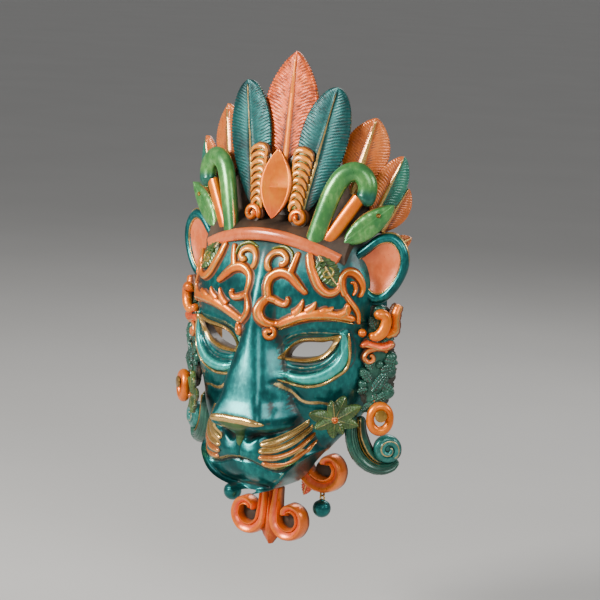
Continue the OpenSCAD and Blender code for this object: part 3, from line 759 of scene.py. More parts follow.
def cut_eyes(x, z):
    """Marks the grid's cells that stay outside the eye slits, and pulls the points on their edges to the
    outline."""
    rows, columns = x.shape
    outline = curve(EYE_HOLE, 1.2, closed=True)
    hole = inside_outline(abs(x), z, outline)
    gone = (hole[:-1, :-1].astype(int) + hole[1:, :-1] + hole[:-1, 1:] + hole[1:, 1:]) >= 2
    by_gone, by_kept = np.zeros(x.shape, bool), np.zeros(x.shape, bool)
    for i in (0, 1):
        for j in (0, 1):
            by_gone[i:rows - 1 + i, j:columns - 1 + j] |= gone
            by_kept[i:rows - 1 + i, j:columns - 1 + j] |= ~gone
    edge = by_gone & by_kept
    px, pz = pull_to(abs(x[edge]), z[edge], outline)
    x[edge], z[edge] = px * np.sign(x[edge]), pz
    return ~gone


def shell_faces(keep, rows, columns):
    """Quads of the outside, of the inside turned round, and of the walls that join them along every lone
    edge."""
    count = rows * columns
    grid = np.arange(count).reshape(rows, columns)
    outer = np.stack([grid[:-1, :-1][keep], grid[:-1, 1:][keep], grid[1:, 1:][keep], grid[1:, :-1][keep]], 1)
    inner = outer[:, ::-1] + count
    sides = np.concatenate([outer[:, [k, (k + 1) % 4]] for k in range(4)])
    order = np.sort(sides, 1)
    _, first, times = np.unique(order[:, 0] * count + order[:, 1], return_index=True, return_counts=True)
    lone = sides[first[times == 1]]
    walls = np.stack([lone[:, 1], lone[:, 0], lone[:, 0] + count, lone[:, 1] + count], 1)
    return outer, inner, walls


def shell_paint(x, z, c):
    """Rubbed gold along the folds; dark patina with painted shade where the relief is hollow (the sum of its
    second differences), darker where the shell turns back at its sides, painted shadow under the band and
    painted shade in the nostrils; a painted highlight of brighter teal down the nose, and the lighter
    turquoise of the crescents."""
    t = 1.1
    bend = (relief(x + t, z) + relief(x - t, z) + relief(x, z + t) + relief(x, z - t) - 4
            * relief(x, z)) / t ** 2
    ax = abs(x)
    gilt = 0 * x
    for line, width, share in GILDED_FOLDS:
        gilt = np.maximum(gilt, share * np.exp(-(near(ax, z, line)[0] / width) ** 2))
    # Dark patina with painted shade in the hollows, and darker where the shell turns back at its sides.
    dark = smooth(0.05, 0.3, bend) * 0.75 * smooth(0.1, 0.4, c) + 0.3 * smooth(0.12, 0.0, c)
    # Painted shadow under the band: the forehead darkens towards its top.
    dark = np.maximum(dark, 0.6 * smooth(232, 258, z) + 0.3 * smooth(262, 266, z))
    # Painted shade in the nostril hollow.
    dark = np.maximum(dark, 0.95 * np.exp(-(near(ax, z, NOSTRIL)[0] / 2.8) ** 2))
    # A painted highlight of brighter teal in a stripe down the nose; the crescents take their own lighter
    # turquoise.
    tone = 0.35 * hump(ax, z, 2, 165, 8, 60) + 0.5 * np.exp(-(near(ax, z, CRESCENT)[0] / 4) ** 2)
    return gilt, dark, tone


# Line, half width and strength of the gold
GILDED_FOLDS = ((UNDER_EYE, 1.0, 0.5), (LID_FOLD, 1.1, 0.5), (CHEEK_CREASE, 1.2, 1.0), (NOSE_SIDE, 1.0, 0.3),
                (LIP, 1.3, 0.95), (CHIN_EDGE, 1.0, 0.55), (JAW_LINE, 1.2, 0.4))
INSIDE_PAINT = (0.0, 0.35, 0.0)


def face_shell():
    """The hollow face: the worked relief outside, and inside the plain relief less the wall, which closes
    to the rim at the top, the foot and the sides. The rim is drawn in a little below the cheeks."""
    x, z, c, w = shell_grid()
    rows, columns = x.shape
    keep = cut_eyes(x, z)
    outside = shell_outside(x, z, c)
    rim = rim_depth(z)
    drawn_in = 0.2 * (1 - smooth(80, 135, z))
    xi = np.where(abs(c) < 0.3, x * (1 - SIDE_WALL / w * smooth(0.3, 0.0, c)), x)
    xi = xi * (1 - drawn_in * smooth(0.25, 0, c))
    x = x * (1 - drawn_in * smooth(0.06, 0, c))
    hollow = np.maximum(0, relief(xi, z, False) - WALL - rim) * smooth(0, 0.3, c)
    hollow = hollow * smooth(58, 72, z) * smooth(266, 254, z)
    inside = np.minimum(rim + hollow, outside - 3 * smooth(0.02, 0.1, c))
    outer, inner, walls = shell_faces(keep, rows, columns)
    quads = np.concatenate([outer, inner, walls])
    points = np.concatenate([np.stack([x, outside, z], -1), np.stack([xi, inside, z], -1)]).reshape(-1, 3)
    fields = [np.concatenate([field.reshape(-1), np.full(rows * columns, value)])
              for field, value in zip(shell_paint(x, z, c), INSIDE_PAINT)]
    used = np.unique(quads)
    place = np.zeros(len(points), int)
    place[used] = np.arange(len(used))
    mesh = bpy.data.meshes.new("face")
    mesh.from_pydata(metres(points[used]).tolist(), [], place[quads].tolist())
    kinds = np.repeat([0, 1, 2], [len(outer), len(inner), len(walls)])
    dress(mesh, "face_shell", np.stack(fields, 1)[used], kinds, [TEAL, PINE, UMBER], 50, MASK)


face_shell()

# ---- the headdress ----

piece("centre_feather", [
    plume(crown_at(0, 291, 0.3), 130, 53, 1.35, 3, 5.0, 2.9, quill=(2.2, 1.5), barb=0.8, cup=1.0, gilt=0.0,
        quill_gilt=0.0, quill_tone=1.0, columns=61, rim=0.5, dark=1.15)
], "feather_centre", [CORAL])
FEATHERS = [
    # name, foot across, foot up, splay, length, width, lift, tip, pitch, paint, tone of its inner and outer
    # half, how round its tip is, quill
    ("inner", 22, 287, 11, 109, 43, 6.4, 1.35, 2.7, TEAL_DEEP, (0, 0), 0.5, (1.5, 1.5)),
    ("outer", 59, 308, 12, 66, 39, 0.3, 1.15, 2.4, COPPER, (0, 0), 0.7, (2.6, 1.6)),
    ("side", 76, 288, 20, 59, 27, 4.8, 1.1, 2.4, COPPER, (0, 1), 0.6, (1.5, 1.2)),
    ("low", 83, 280, 26, 42, 23, 0.3, 1.05, 2.2, COPPER, (1, 0), 0.65, (1.3, 1.0)),
]
for name, x, z, splay, length, width, lift, tip, pitch, paint, halves, power, quill in FEATHERS:
    # A painted highlight on the barb crests of the inner feathers.
    crest_highlight = 0.35 if name == "inner" else 0.0
    pair(f"{name}_feather", [
        plume(crown_at(x, z, lift, splay), length, width, tip, 3, 4.2, pitch, quill=quill, barb=0.4,
            halves=halves, gilt=0.05, power=power, crest_highlight=crest_highlight, quill_gilt=0.85)
    ], [paint], node=f"feather_{name}")

piece("tail_feathers", twin([
    plume(crown_at(91, 268.5, 0.2, 60), 18, 12, 1.0, 2, 3.6, 2.2)
]), "feather_tails", [COPPER])
lobe_place = crown_at(18, 291, 10.8, -3)
acanthus = [bar(lobe_place, curve([(-2.5, -1), (-2, 14), (0, 30), (2.5, 44), (4, 50)], 0.6),
                [7, 9, 12, 15, 8], 2.2, CARVED, (2, 4), tone=1.0)]
for k in range(8):
    b, reach = 2 + 6.2 * k, 2.8 + 1.1 * k
    lobe = curve([(-6 + 0.3 * k, b - 4.5), (-5 + 0.3 * k, b + 0.8), (-1 + 0.4 * k, b + 3.6), (reach, b + 0.8),
                  (reach + 2.8, b - 5.4)], 0.45)
    acanthus.append(bar(lobe_place, lobe, [1.4, 4.4, 5.2, 3.8, 0.6], [1.6, 2.8, 3.2, 2.6, 1.2], CARVED,
                        (1, 0.6), lift=1.4, wave=0.12))
piece("acanthus_leaves", twin(acanthus), "acanthus", [ACANTHUS])


def gem():
    """A pointed oval, half width sin(pi b^0.97)^0.8, with a ridge up the middle that is highest below its
    middle, so it has four facets."""
    b = np.linspace(0, 1, 61)[:, None]
    w = np.maximum(15.4 * leaf(b, 0.97, 0.8), 0.05)
    top = np.where(b < 0.45, b / 0.45, (1 - b) / 0.55)
    q = np.array([1, 0.9, 0.82, 0.4, 0, -0.4, -0.82, -0.9, -1, -1, 1])[None]
    edge = np.array([0, 1, 1, 0, 0, 0, 1, 1, 0, 0, 0])[None]
    lift = np.array([1.6, 2.6, 2.6, 0, 0, 0, 2.6, 2.6, 1.6, 0, 0])[None]
    rise = 2.2 + (1 - abs(q)) * (0.4 + 8.6 * top)
    h = np.where(edge > 0, lift, np.where(abs(q) == 1, lift, rise))
    p = crown_at(0, 281, 14.3)(q * w, 58 * b + 0 * q, h)
    return sheet(p, 0 * h + 0.2 * edge, np.where(abs(q) == 1, 0.8, 0.0) + 0 * h,
                 0.55 * smooth(0.45, 0.05, b) + 0 * h)


piece("marquise", [gem()], "marquise", [ORANGE], crease=9)
piece("crown_spirals", twin([
    bar(crown_at(20.8, 283, 10.8), curve(spiral(0, 0.6, 215, -470, 7.4, 1.8), 0.4), [4.0, 5.0, 4.4],
        [4, 5.4, 5.8], CARVED, (3, 1.8)),
    boss(crown_at(20.8, 283, 10.8), circle(7.6, 30), [(0, 0), (1, 0), (1, 1.6), (0, 2.0)], paint=1)
]), "crown_spirals", [ORANGE, UMBER])
hook = curve([(-24.5, -50), (-18.5, -26), (-12, -4), (-4, 10), (7, 14), (15, 7), (16, -4), (12, -12)], 0.7)
hook_place = crown_at(57, 313, 10)
across, _ = sides_of(hook)
pair("crook", [
    bar(hook_place, hook, [15, 16, 16.5, 16.5, 16.5, 16], [11, 12, 13, 13, 13.4, 13], TUBE, (1, 6.5),
        dark=0.8, tone=smooth(0.78, 1.0, np.linspace(0, 1, len(hook)))[:, None]),
    thread(hook_place, hook[6:-30] - across[6:-30] * 7.0, 1.3, 1.5, 7.4, paint=1),
    thread(hook_place, hook[6:-8] + across[6:-8] * 7.2, 1.3, 1.5, 7.0, paint=1)
], [GREEN, GILT])
piece("crook_bars", twin([
    bar(crown_at(48.5, 273.5, 10, 31), curve([(0, -11), (0, 18), (0, 39)], 0.8), 11.4, 8.6, BEVEL,
        (0.3, 0.5))
]), "crook_bars", [ORANGE])
ear_leaf = crown_at(58.5, 268, 9, 47)
piece("ear_leaves", twin([
    plume(ear_leaf, 51, 20, 0.85, 3, 7.6, 7.0, quill=(0.8, 0.3), barb=0.2, serrate=0, gilt=0.0,
        quill_gilt=0.2, dark=0.5, power=0.62),
    thread(ear_leaf, curve([(-3.4, 3), (-8, 14), (-9.4, 25), (-7.4, 37), (-2.4, 47.5)]), 1.4, 1.3, 4.2,
        paint=1),
    boss(ear_leaf, circle(1.9, 20, -1, 36), [(0, 3), (1, 3), (1, 7.6), (0.7, 8.2), (0.4, 7.4), (0, 7.2)],
        (-1, 36), gilt=-0.4, dark=1.0, paint=1)
]), "ear_leaves", [GREEN, GILT])


BAND_DEPTH, BAND_BEND, BAND_TOP, BAND_DIP = 63, 0.0034, 270, 0.0038


def band_place(a, b, h):
    """Round the brow: depth falls off as the square of the way across."""
    return np.stack([a, BAND_DEPTH - BAND_BEND * a ** 2 - 8 + h, b + 0 * h], -1)


def cove():
    """A hollow fillet behind the band: its section runs back and up from the band's top edge to the crown
    board, and its flat underside follows the shell's top."""
    x = np.linspace(-68, 68, 70)[:, None]
    step = np.array([(0, 4.6), (0.3, 5.6), (0.55, 6.4), (0.8, 8.4), (1, 13), (1, -2), (0.02, -2)])[None]
    front, backward = BAND_DEPTH - 2 - BAND_BEND * x ** 2, 33 - x ** 2 / 320
    d = front + (backward - front) * step[..., 0]
    edge = BAND_TOP - BAND_DIP * x ** 2
    level = edge + (273 - edge) * smooth(0, 0.5, step[..., 0])
    return sheet(np.stack([x + 0 * d, d, level + step[..., 1]], -1), 0 * d, 0.3 + 0 * d, 0 * d, paint=1)


piece("head_band", [
    cove(),
    bar(band_place, curve([(x, BAND_TOP - BAND_DIP * x * x) for x in np.linspace(-64.5, 64.5, 13)], 1.0),
        10.8, 8.2, BEVEL, (0.4, 0.4), dark=0.7)
], "head_band", [BAND_CORAL, UMBER])

# ---- ears ----

EAR = [(-26, 2), (-14, 15), (-1, 25.5), (12, 26.5), (21.5, 15), (22.5, -1), (15, -19), (3, -32), (-9, -31),
       (-20, -16)]
ear = plane_at(86, 15, 251, 22)
outline = curve(EAR, 1.4, closed=True)
rim_line = outline * 0.84
pair("ear", [
    bar(ear, rim_line, 8.6, 10.8, TUBE, closed=True, dark=0.7),
    boss(ear, outline * 0.95, [(0, 0.4), (0.97, 0.4), (1, 2), (0.97, 3.6), (0, 3.8)]),
    bar(ear, outline * 0.715, 1.4, 1.5, ROUND, closed=True, gilt=1.0, lift=8.0, paint=1),
    thread(ear, outline[18:58] * 0.99, 1.6, 1.6, 6.2, paint=1)
], [TEAL, GILT])
pair("ear_lining", [
    boss(ear, outline * 0.76, [(0, 4), (1, 4), (1, 8.6), (0.93, 8.2), (0.75, 6.6), (0.5, 5.3), (0.25, 4.7),
        (0, 4.5)], dark=0.3)
], [BAND_CORAL])

# ---- carved work on the face ----

E_LINE = [(44.2, 226), (40.5, 228.4), (32.8, 235.1), (26.9, 239.6), (18.8, 240.9), (10.6, 236.5),
          (8.4, 229.5), (9.2, 223.5), (9.6, 219.5), (6, 214), (4.6, 208), (6.6, 202.4), (11.3, 198),
          (16.5, 197.6), (21.6, 199.5)]
E_PRONG = [(9, 219.5), (14.3, 218), (20, 216), (25, 215.4), (27.6, 218.6), (26, 222)]
pair("forehead_scroll", [
    bar(on_face, curve(E_LINE, 0.6), [4.0, 6.6, 7.8, 7.6, 7.0, 6.6, 7.6, 7.2, 5.4],
        [2.6, 3.6, 4.0, 3.8, 3.4, 3.8, 3.6], CARVED, (3, 4), wave=0.05),
    bar(on_face, curve(E_PRONG, 0.5), [6.4, 5.8, 5.0, 3.8], [3.6, 3.6, 3.0], CARVED, (1, 3)),
    bar(on_face, curve([(26.5, 238.5), (29.2, 247.8), (31.4, 259)], 0.6), [6.8, 5.4, 4.4], [3.4, 3.0, 2.6],
        CARVED, (1, 2), flip=True)
], [ORANGE])
piece("forehead_spirals", twin([
    bar(on_face, curve([(9.5, 241.0), (6.0, 245), (6.0, 251), (9.8, 255.6), (16.2, 256.6), (21.2, 253.8),
        (22.2, 249.8), (19.4, 247.2), (16.2, 249)], 0.45), [4.2, 5.4, 5.4, 4.8, 5.0], [3.0, 3.6, 3.8],
        CARVED, (3, 2)),
    bar(on_face, curve([(6, 258.6), (16.4, 261.4), (25.6, 257.4), (27.6, 249)], 0.5), [1.8, 2.8, 1.6], 2.0,
        ROUND, (3, 3), tone=1.0)
]), "forehead_spirals", [ACANTHUS])
piece("loop_scrolls", twin([
    bar(on_face, curve([(40.2, 259), (43.6, 249.6), (48, 241), (53, 232.8), (59.3, 228), (64.6, 229),
        (67.0, 233.5), (65.6, 238)], 0.6), [5.6, 7.0, 7.4, 7.0, 5.6, 4.4], [3.2, 3.8, 3.8, 3.2], CARVED,
        (2, 3), wave=0.04)
]), "loop_scrolls", [ORANGE])


def loop_leaf_place(a, b, h):
    """On the face, with up along (0.6, -0.8) from the loop's outer top."""
    return on_face(48.5 + 0.6 * b + 0.8 * a, 257 - 0.8 * b + 0.6 * a, h)


piece("loop_leaves", twin([
    plume(loop_leaf_place, 30, 15, 0.9, 1.5, 2.8, 3.4, quill=(0.8, 0.5), barb=0.9, serrate=0.1, gilt=0.3),
    bar(on_face, curve(spiral(57.5, 243.5, 90, -400, 4.8, 1.2), 0.45), [1.8, 2.6, 2.2], [3.4, 3.8, 4],
        ROUND, (2, 1.5), tone=0.7),
    boss(on_face, circle(2.4, 20, 53, 250), [(0, 0.6), (1, 0.6), (1, 3.8), (0.75, 4.3), (0.5, 3.0),
        (0, 2.8)], (53, 250), gilt=0.3)
]), "loop_leaves", [LEAF])
piece("temple_rings", twin([
    bar(on_face, curve([(71.4, 225.5), (68.6, 233.5), (67.8, 240.5), (70.0, 245.0), (74, 243.8),
        (77.6, 238), (79.2, 231), (78.6, 224.5)], 0.5), [4.6, 6, 6.2, 5.2, 4.2], [3.4, 4.0, 3.4], CARVED,
        (2, 2), flip=True),
    bar(on_face, curve([(72.9, 237.3), (75.2, 236), (76.4, 231), (75.4, 226)], 0.5), [2.6, 3.2, 2.2], 3.0,
        ROUND, (2, 2)),
    bar(on_face, curve([(70.5, 229), (74.2, 222.0), (77.4, 215.5), (79.0, 209.5), (79.0, 202)], 0.5),
        [3.6, 4.6, 3.8], [3.0, 3.4, 2.6], CARVED, (2, 2)),
    bar(on_face, curve([(72.8, 220.5), (73.2, 215.5), (73.4, 209)], 0.5), [2.4, 6.2, 2.6], 3.4, CARVED,
        (3, 3))
]), "temple_rings", [ORANGE])
BROW_TOP = [(16, 195.5), (26, 200.6), (36, 205.2), (48, 208.8), (60, 210), (70, 209), (78, 206.5)]
BROW_FOLD = [(15.4, 192), (26.7, 196.9), (38.1, 202.3), (49.8, 205.3), (61.6, 206), (70.2, 204.9),
             (77.4, 202.6)]
FLAMES = [((33, 207), (36.5, 210.5), (39, 215), (41, 221.5)),
          ((44, 210), (47, 213), (49.5, 216), (51.5, 220.5)),
          ((56, 210.5), (59, 213), (62, 214), (64.5, 217)),
          ((68, 209.5), (71, 212), (72.5, 215), (73, 219))]
brow = bar(on_face, curve(BROW_TOP, 0.6), [5.4, 7.6, 8.4, 8.8, 8.8, 7.6, 5.0], [2.6, 3.6, 3.8, 3.8, 3.4, 2.8],
           CARVED, (4, 3), wave=0.05)
flames = [bar(on_face, curve(flame, 0.4), [8.6, 7.0, 4.6, 1.4], [3.4, 3.3, 2.8, 1.6], CARVED, (1, 2))
          for flame in FLAMES]
fold = thread(on_face, curve(BROW_FOLD, 0.6), 1.7, 1.7, paint=1)
pair("brow", [brow] + flames + [fold], [ORANGE, GILT])
curl = plane_at(13.2, 69.5, 190.5, 34)
piece("bridge_curls", twin([
    bar(curl, curve(spiral(0, 0, 80, -430, 5.4, 1.2), 0.4), [3.0, 4.2, 4.0, 3.6], [2.8, 3.4, 3.8], CARVED,
        (3, 1.2), lift=1.0),
    boss(curl, circle(6.4, 30), [(0, -3), (1, -3), (1, 0.6), (0.9, 1.2), (0, 1.4)], paint=1)
]), "bridge_curls", [ORANGE, UMBER])

RIM_OUT = [(20.9, 168.8), (22.8, 175), (29, 182), (37.7, 187), (48, 189), (58, 190.3), (70.2, 193),
           (66.5, 185.5), (63.4, 179.7), (55.9, 172), (45.2, 167.6), (33.5, 166.8)]


def even_loop(outline, n=150):
    """n points spaced evenly round a closed outline."""
    p = curve(outline, 0.8, closed=True)
    q = np.vstack([p, p[:1]])
    s = np.concatenate([[0], np.cumsum(np.linalg.norm(np.diff(q, axis=0), axis=1))])
    e = np.linspace(0, s[-1], n + 1)[:-1]
    return np.stack([np.interp(e, s, q[:, k]) for k in (0, 1)], 1)


def eye_rim(inner, outer, steps):
    """A frame between two closed outlines: inner (1 - share) + outer share. Steps give the share of the way
    out, the lift, how far it is sunk, the gilt and the dark."""
    a, b = even_loop(inner), even_loop(outer)
    st = np.array(steps)
    line = a[:, None] * (1 - st[None, :, :1]) + b[:, None] * st[None, :, :1]
    p = on_face(line[..., 0], line[..., 1], st[None, :, 1] + 0 * line[..., 0])
    p[..., 1] -= st[None, :, 2]
    full = np.zeros(line.shape[:2])
    return sheet(p, st[None, :, 3] + full, st[None, :, 4] + full, full, True)


# The rim darkens towards the slit and down the walls that turn into it: painted shade in the eye hole; its
# feet carry patina with painted shade.
pair("eye_rim", [
    eye_rim(EYE_HOLE, RIM_OUT, [(-0.02, 0, 10, 0, 1), (-0.03, 0, 4, 0, 1), (0.0, 0.2, 0.4, 0, 0.9),
        (0.3, 1.0, 0, 0.1, 0.7), (0.55, 1.5, 0, 0.5, 0.2), (0.72, 2.2, 0, 1, 0), (0.86, 2.4, 0, 1, 0),
        (0.97, 1.6, 0, 0.9, 0.1), (1.05, 0.2, 0, 0.2, 0.7), (1.05, 0, 1.5, 0, 1), (0.5, 0, 6, 0, 1),
        (0.1, 0, 10, 0, 1)])
], [GILT])
pair("cheek_crescent", [
    bar(on_face, CRESCENT, [3, 7, 8.4, 8.8, 8.2, 6.4, 3], [0.8, 1.6, 1.8, 1.8, 1.6, 1.2, 0.8],
        half_round(15, -0.6), (6, 6), tone=0.7, dark=0.8),
    thread(on_face, curve([(23.7, 152.6), (30.3, 149), (43.7, 147.6), (57.5, 151), (67.2, 158),
        (73.6, 165.2), (75.6, 176.8), (74.8, 188.5), (74.2, 195)], 0.7), 2.4, 1.8, paint=1, noses=(8, 8))
], [TEAL, GILT])

piece("nose_pad", [
    bar(on_face, curve([(-26, 117.5), (-19, 119.0), (-10, 119.4), (0, 119.2), (10, 119.4), (19, 119.0),
        (26, 117.5)], 0.7), [3, 6.2, 7.4, 7.6, 7.4, 6.2, 3], [1.4, 2.4, 2.6, 2.6, 2.4, 1.4], ROUND, (5, 5),
        gilt=0.9, dark=0.35),
    bar(on_face, curve([(0, 118.5), (0, 113), (0, 107), (0, 101), (0, 95.5)], 0.5), [42, 21, 10, 7, 4],
        [2.2, 2.4, 2.4, 2.0, 1.2], ROUND, (1, 5), gilt=0.15, dark=0.6, paint=1)
], "nose_pad", [GILT, LEAF])
WHISKERS = [[(18.6, 99), (30, 102.6), (38.4, 108.6), (43.2, 114.6), (46.6, 119.8)],
            [(18.4, 93.6), (30.6, 95.8), (39.8, 101.6), (45.0, 109), (49.0, 116.4)],
            [(18.6, 88.2), (30.8, 89.2), (40.3, 94.3), (46.0, 102.4), (49.6, 110.4)],
            [(20.5, 83.2), (30.8, 83.0), (39.4, 86), (45.6, 93.4), (50.2, 103.6)]]
piece("whiskers", twin([bar(on_face, curve(line, 0.6), [3.6, 4.8, 5.0, 4.6, 2.6], [2.2, 3.2, 3.6, 3.0],
                            CARVED, (4, 6), gilt=0.75 - 0.22 * k, tone=0.0 if k < 2 else 1.0, dark=0.7,
                            lift=1.0) for k, line in enumerate(WHISKERS) ]), "whiskers", [GILT])

# ---- side ornaments ----

# Turn, length, width and lift of each petal
PETALS = ((-77, 22, 12, 0.6), (-112, 18, 10, 1.6), (180, 15.5, 11, 0.4), (146, 14.5, 9, 1.4),
          (24, 21.5, 12.5, 0.5), (-10, 16.5, 10, 1.5), (64, 25.5, 12.5, 0.6), (104, 22, 11, 0.2))
BLOOM = (68, 50.5, 123, 48)
bloom = plane_at(*BLOOM)
petals = [plume(plane_at(*BLOOM, turn), length, width, 0.8, 1.8, 3.2, 2.6, quill=(0.5, 0.5), barb=0.4,
                serrate=0.03, gilt=0.1, cup=-0.6, lift=lift, power=0.55, rim=0.6, quill_gilt=0.55)
          for turn, length, width, lift in PETALS]
pair("flower", petals + [
    boss(bloom, circle(3.0, 30), [(0, 0.4), (1, 0.5), (1.02, 4.4), (0.86, 6.0), (0.62, 6.3), (0.5, 5.6),
        (0.36, 6.6), (0.18, 7.2), (0, 7.3)], dark=0.6, lobes=(8, 0.06), paint=1)
], [LEAF, COPPER])
upper, horn = side_at(0, 202, 6), side_at(0, 202, 2)
pair("side_swirl", [
    bar(upper, curve([(2.2, 5.8), (5.4, 9.2), (9.4, 7.8), (10.8, 3.0), (8.6, -4.4), (3.6, -8.8),
        (-3.2, -8.6)], 0.45), [9.4, 9.4, 9.0, 9.2, 9.6, 8.4, 4.4], [9, 9, 8.6, 8.6, 8.6, 7.6, 5], TUBE,
        (4.4, 2.5), dark=0.8),
    boss(upper, circle(3.2, 24, -8.4, -6.6), [(0, 0), (1, 0.2), (1.1, 2.6), (0.8, 5.0), (0.4, 6.0),
        (0, 6.2)], (-8.4, -6.6), dark=0.8),
    bar(horn, curve([(11.5, -10.5), (19.0, -4.4), (19.4, 2.8), (19.8, 10.2), (22.8, 17.0)], 0.45),
        [5, 8.6, 7.4, 8.2, 6.2], [5, 7, 7, 6.5, 5], CARVED, (3, 1.2), wave=0.12),
    bar(horn, curve([(-9.5, -18.5), (-2, -16.4), (7, -18.6), (14.5, -17), (18.2, -12.6)], 0.45),
        [4, 7.4, 7.8, 8.6, 7.6], [4.5, 7, 7.4, 8, 7], CARVED, (3, 3.6), tone=0.75, wave=0.06)
], [ORANGE])
LEAFY_UP = 158
# Place and radius of each rounded leaf
LUMPS = ((17.8, 16.4, 5.0), (17.4, 3.4, 5.2), (16.2, -13.4, 6.0), (-4.6, 3.4, 4.4), (-4.8, -6.4, 4.2),
         (8.2, 10.6, 4.2), (9.4, -16.6, 3.6))
# Place, turn, length, width and how strong the painted highlight on the barb crests is, for each pointed leaf
FRONDS = ((3.0, -12, 35, 21, 8.4, 1.0), (9.6, -10, 20, 16, 7, 0.3), (1.5, -4, -38, 13, 8, 0.4),
          (9.5, 5, 75, 13, 9, 0.4), (1, 6, -20, 11, 7, 0.3), (5, -14, 160, 12, 8, 0.3),
          (10, -6, 120, 13, 9, 0.3), (12, 14, 100, 12, 8, 0.2), (4, 26, -30, 13, 8, 0.2),
          (9, 24, 40, 14, 8, 0.3), (3, 40, -25, 12, 7, 0.2), (8, 38, 35, 13, 7, 0.2),
          (6, -20, 60, 14, 8, 0.3), (4, -22, -130, 12, 7, 0.2), (7, -27, 150, 10, 6, 0.2),
          (-1, -10, -110, 9, 6, 0.3))
leafy = side_at(0, LEAFY_UP)
lumps = [boss(leafy, circle(r, 28, a, b), [(0, 0), (1, 0), (1.04, 2.0), (0.9, 4.4), (0.55, 6.0), (0, 6.6)],
              (a, b), dark=0.7, lobes=(3, 0.05), paint=1)
         for a, b, r in LUMPS]
fronds = [plume(side_at(a, LEAFY_UP + b, 3.6, turn), length, width, 0.85, 1.2, 3.2, 2.4, quill=(0.7, 0.6),
                barb=0.7, serrate=0.12, gilt=0.0, power=0.6, paint=1, crest_highlight=crest, quill_gilt=-0.2)
          for a, b, turn, length, width, crest in FRONDS]
strip = bar(leafy, curve([(7, 60), (6, 44), (6, 24), (7, 4), (7, -16), (6, -35)], 1.0),
            [10, 18, 22, 24, 20, 6], 4.4, CARVED, (3, 5), gilt=-0.8, wave=0.12, paint=1, dark=1.2)
tendril = bar(leafy, curve([(14.5, 21), (9, 24), (2.6, 23.2), (-3.0, 20.8), (-5.2, 16.3), (-1.6, 12.8),
                            (2.6, 14.6), (1.4, 18), (-1.0, 17.6)], 0.4),
              [2.8, 3.8, 4.2, 4.2, 3.8, 3], [3.4, 4.4, 4.8, 4.6], CARVED, (2, 1.2), lift=4.2, paint=2)
bud = bar(leafy, curve([(5.0, -18), (5.8, -24), (6.2, -31)], 0.5), [4.6, 3.4, 4.4], 4.4, ROUND, (2, 2),
          paint=3, lift=2, tone=0.4)
pair("foliage", [strip, tendril, bud] + lumps + fronds, [LEAF, MOSS, COPPER, CORAL])
low = side_at(0, 112, -9)
tail = curve([(-10, 11), (-10.4, 2), (-9.2, -9), (-5, -20.5), (4, -30), (15.5, -34.2), (25.4, -32.4),
              (30.4, -26.5)], 0.6)
inner_band = curve([(-2.4, 10), (-1.8, -2), (1.2, -11.5), (6.2, -20.5), (13, -27), (20, -29.6)], 0.6)
scales = 0.5 + 0.5 * ripple(np.arange(len(tail))[:, None] * 0.9, np.arange(len(SCALED))[None] * 1.7, 3.0)
skin = bar(low, tail, [9.0, 10.4, 11.6, 12.0, 12.6, 12.6, 10.5, 6.5], [6, 8, 8, 8, 8, 7.4, 6.6, 5], SCALED,
           (4, 3), wave=0.05, dark=0.6 + 0.5 * scales, tone=0.35 * scales)
pair("tail_scroll", [
    skin,
    bar(low, inner_band, [5.5, 7.0, 7.4, 7.0, 5.5, 3], [5, 6.6, 6.8, 6.4, 5, 3.4], CARVED, (4, 5),
        tone=0.2),
    bar(low, curve([(-5.6, 9), (-5.4, -1), (-3.2, -11.5), (1.4, -20.5), (8.4, -27.4), (17, -31)], 0.6),
        [1.2, 1.9, 1.2], 8.0, ROUND, (4, 6), paint=1, dark=1.5, gilt=-0.3),
    boss(low, circle(11.6, 48, 20.8, -17.0), [(0, 0), (1, 0), (1.02, 2), (1.02, 5.4), (0.92, 7.8),
        (0.78, 8.8), (0.6, 8.6), (0.5, 7.4), (0, 7.0)], (20.8, -17.0), tone=0.6, dark=0.7),
    bar(low, curve(spiral(20.8, -17.0, -60, 480, 8.4, 1.8), 0.5), [5.4, 6.2, 5.4, 3.6], [3.0, 3.4, 3.4],
        CARVED, (4, 1.6), lift=6.8, tone=0.75)
], [MOSS, GILT])
pair("ear_ring", [
    bar(side_at(10, 123.8, 10.2), circle(10.3, 72) * (0.8, 1), [6.7, 8.4, 6.7, 8.4, 6.7], 8.4, TUBE,
        closed=True, lift=-4.2, dark=0.25)
], [ORANGE], body="ring")

peg = side_at(10, 127)
piece("ring_pegs", twin([
    boss(peg, circle(1.0, 28), [(0, 0), (2.6, 0), (2.6, 14.8), (4.9, 14.8), (5.2, 15.2), (4.6, 16.2),
        (2.0, 16.6), (0, 16.7)], dark=0.7)
]), "ring_pegs", [GILT])

# ---- chin ornaments ----

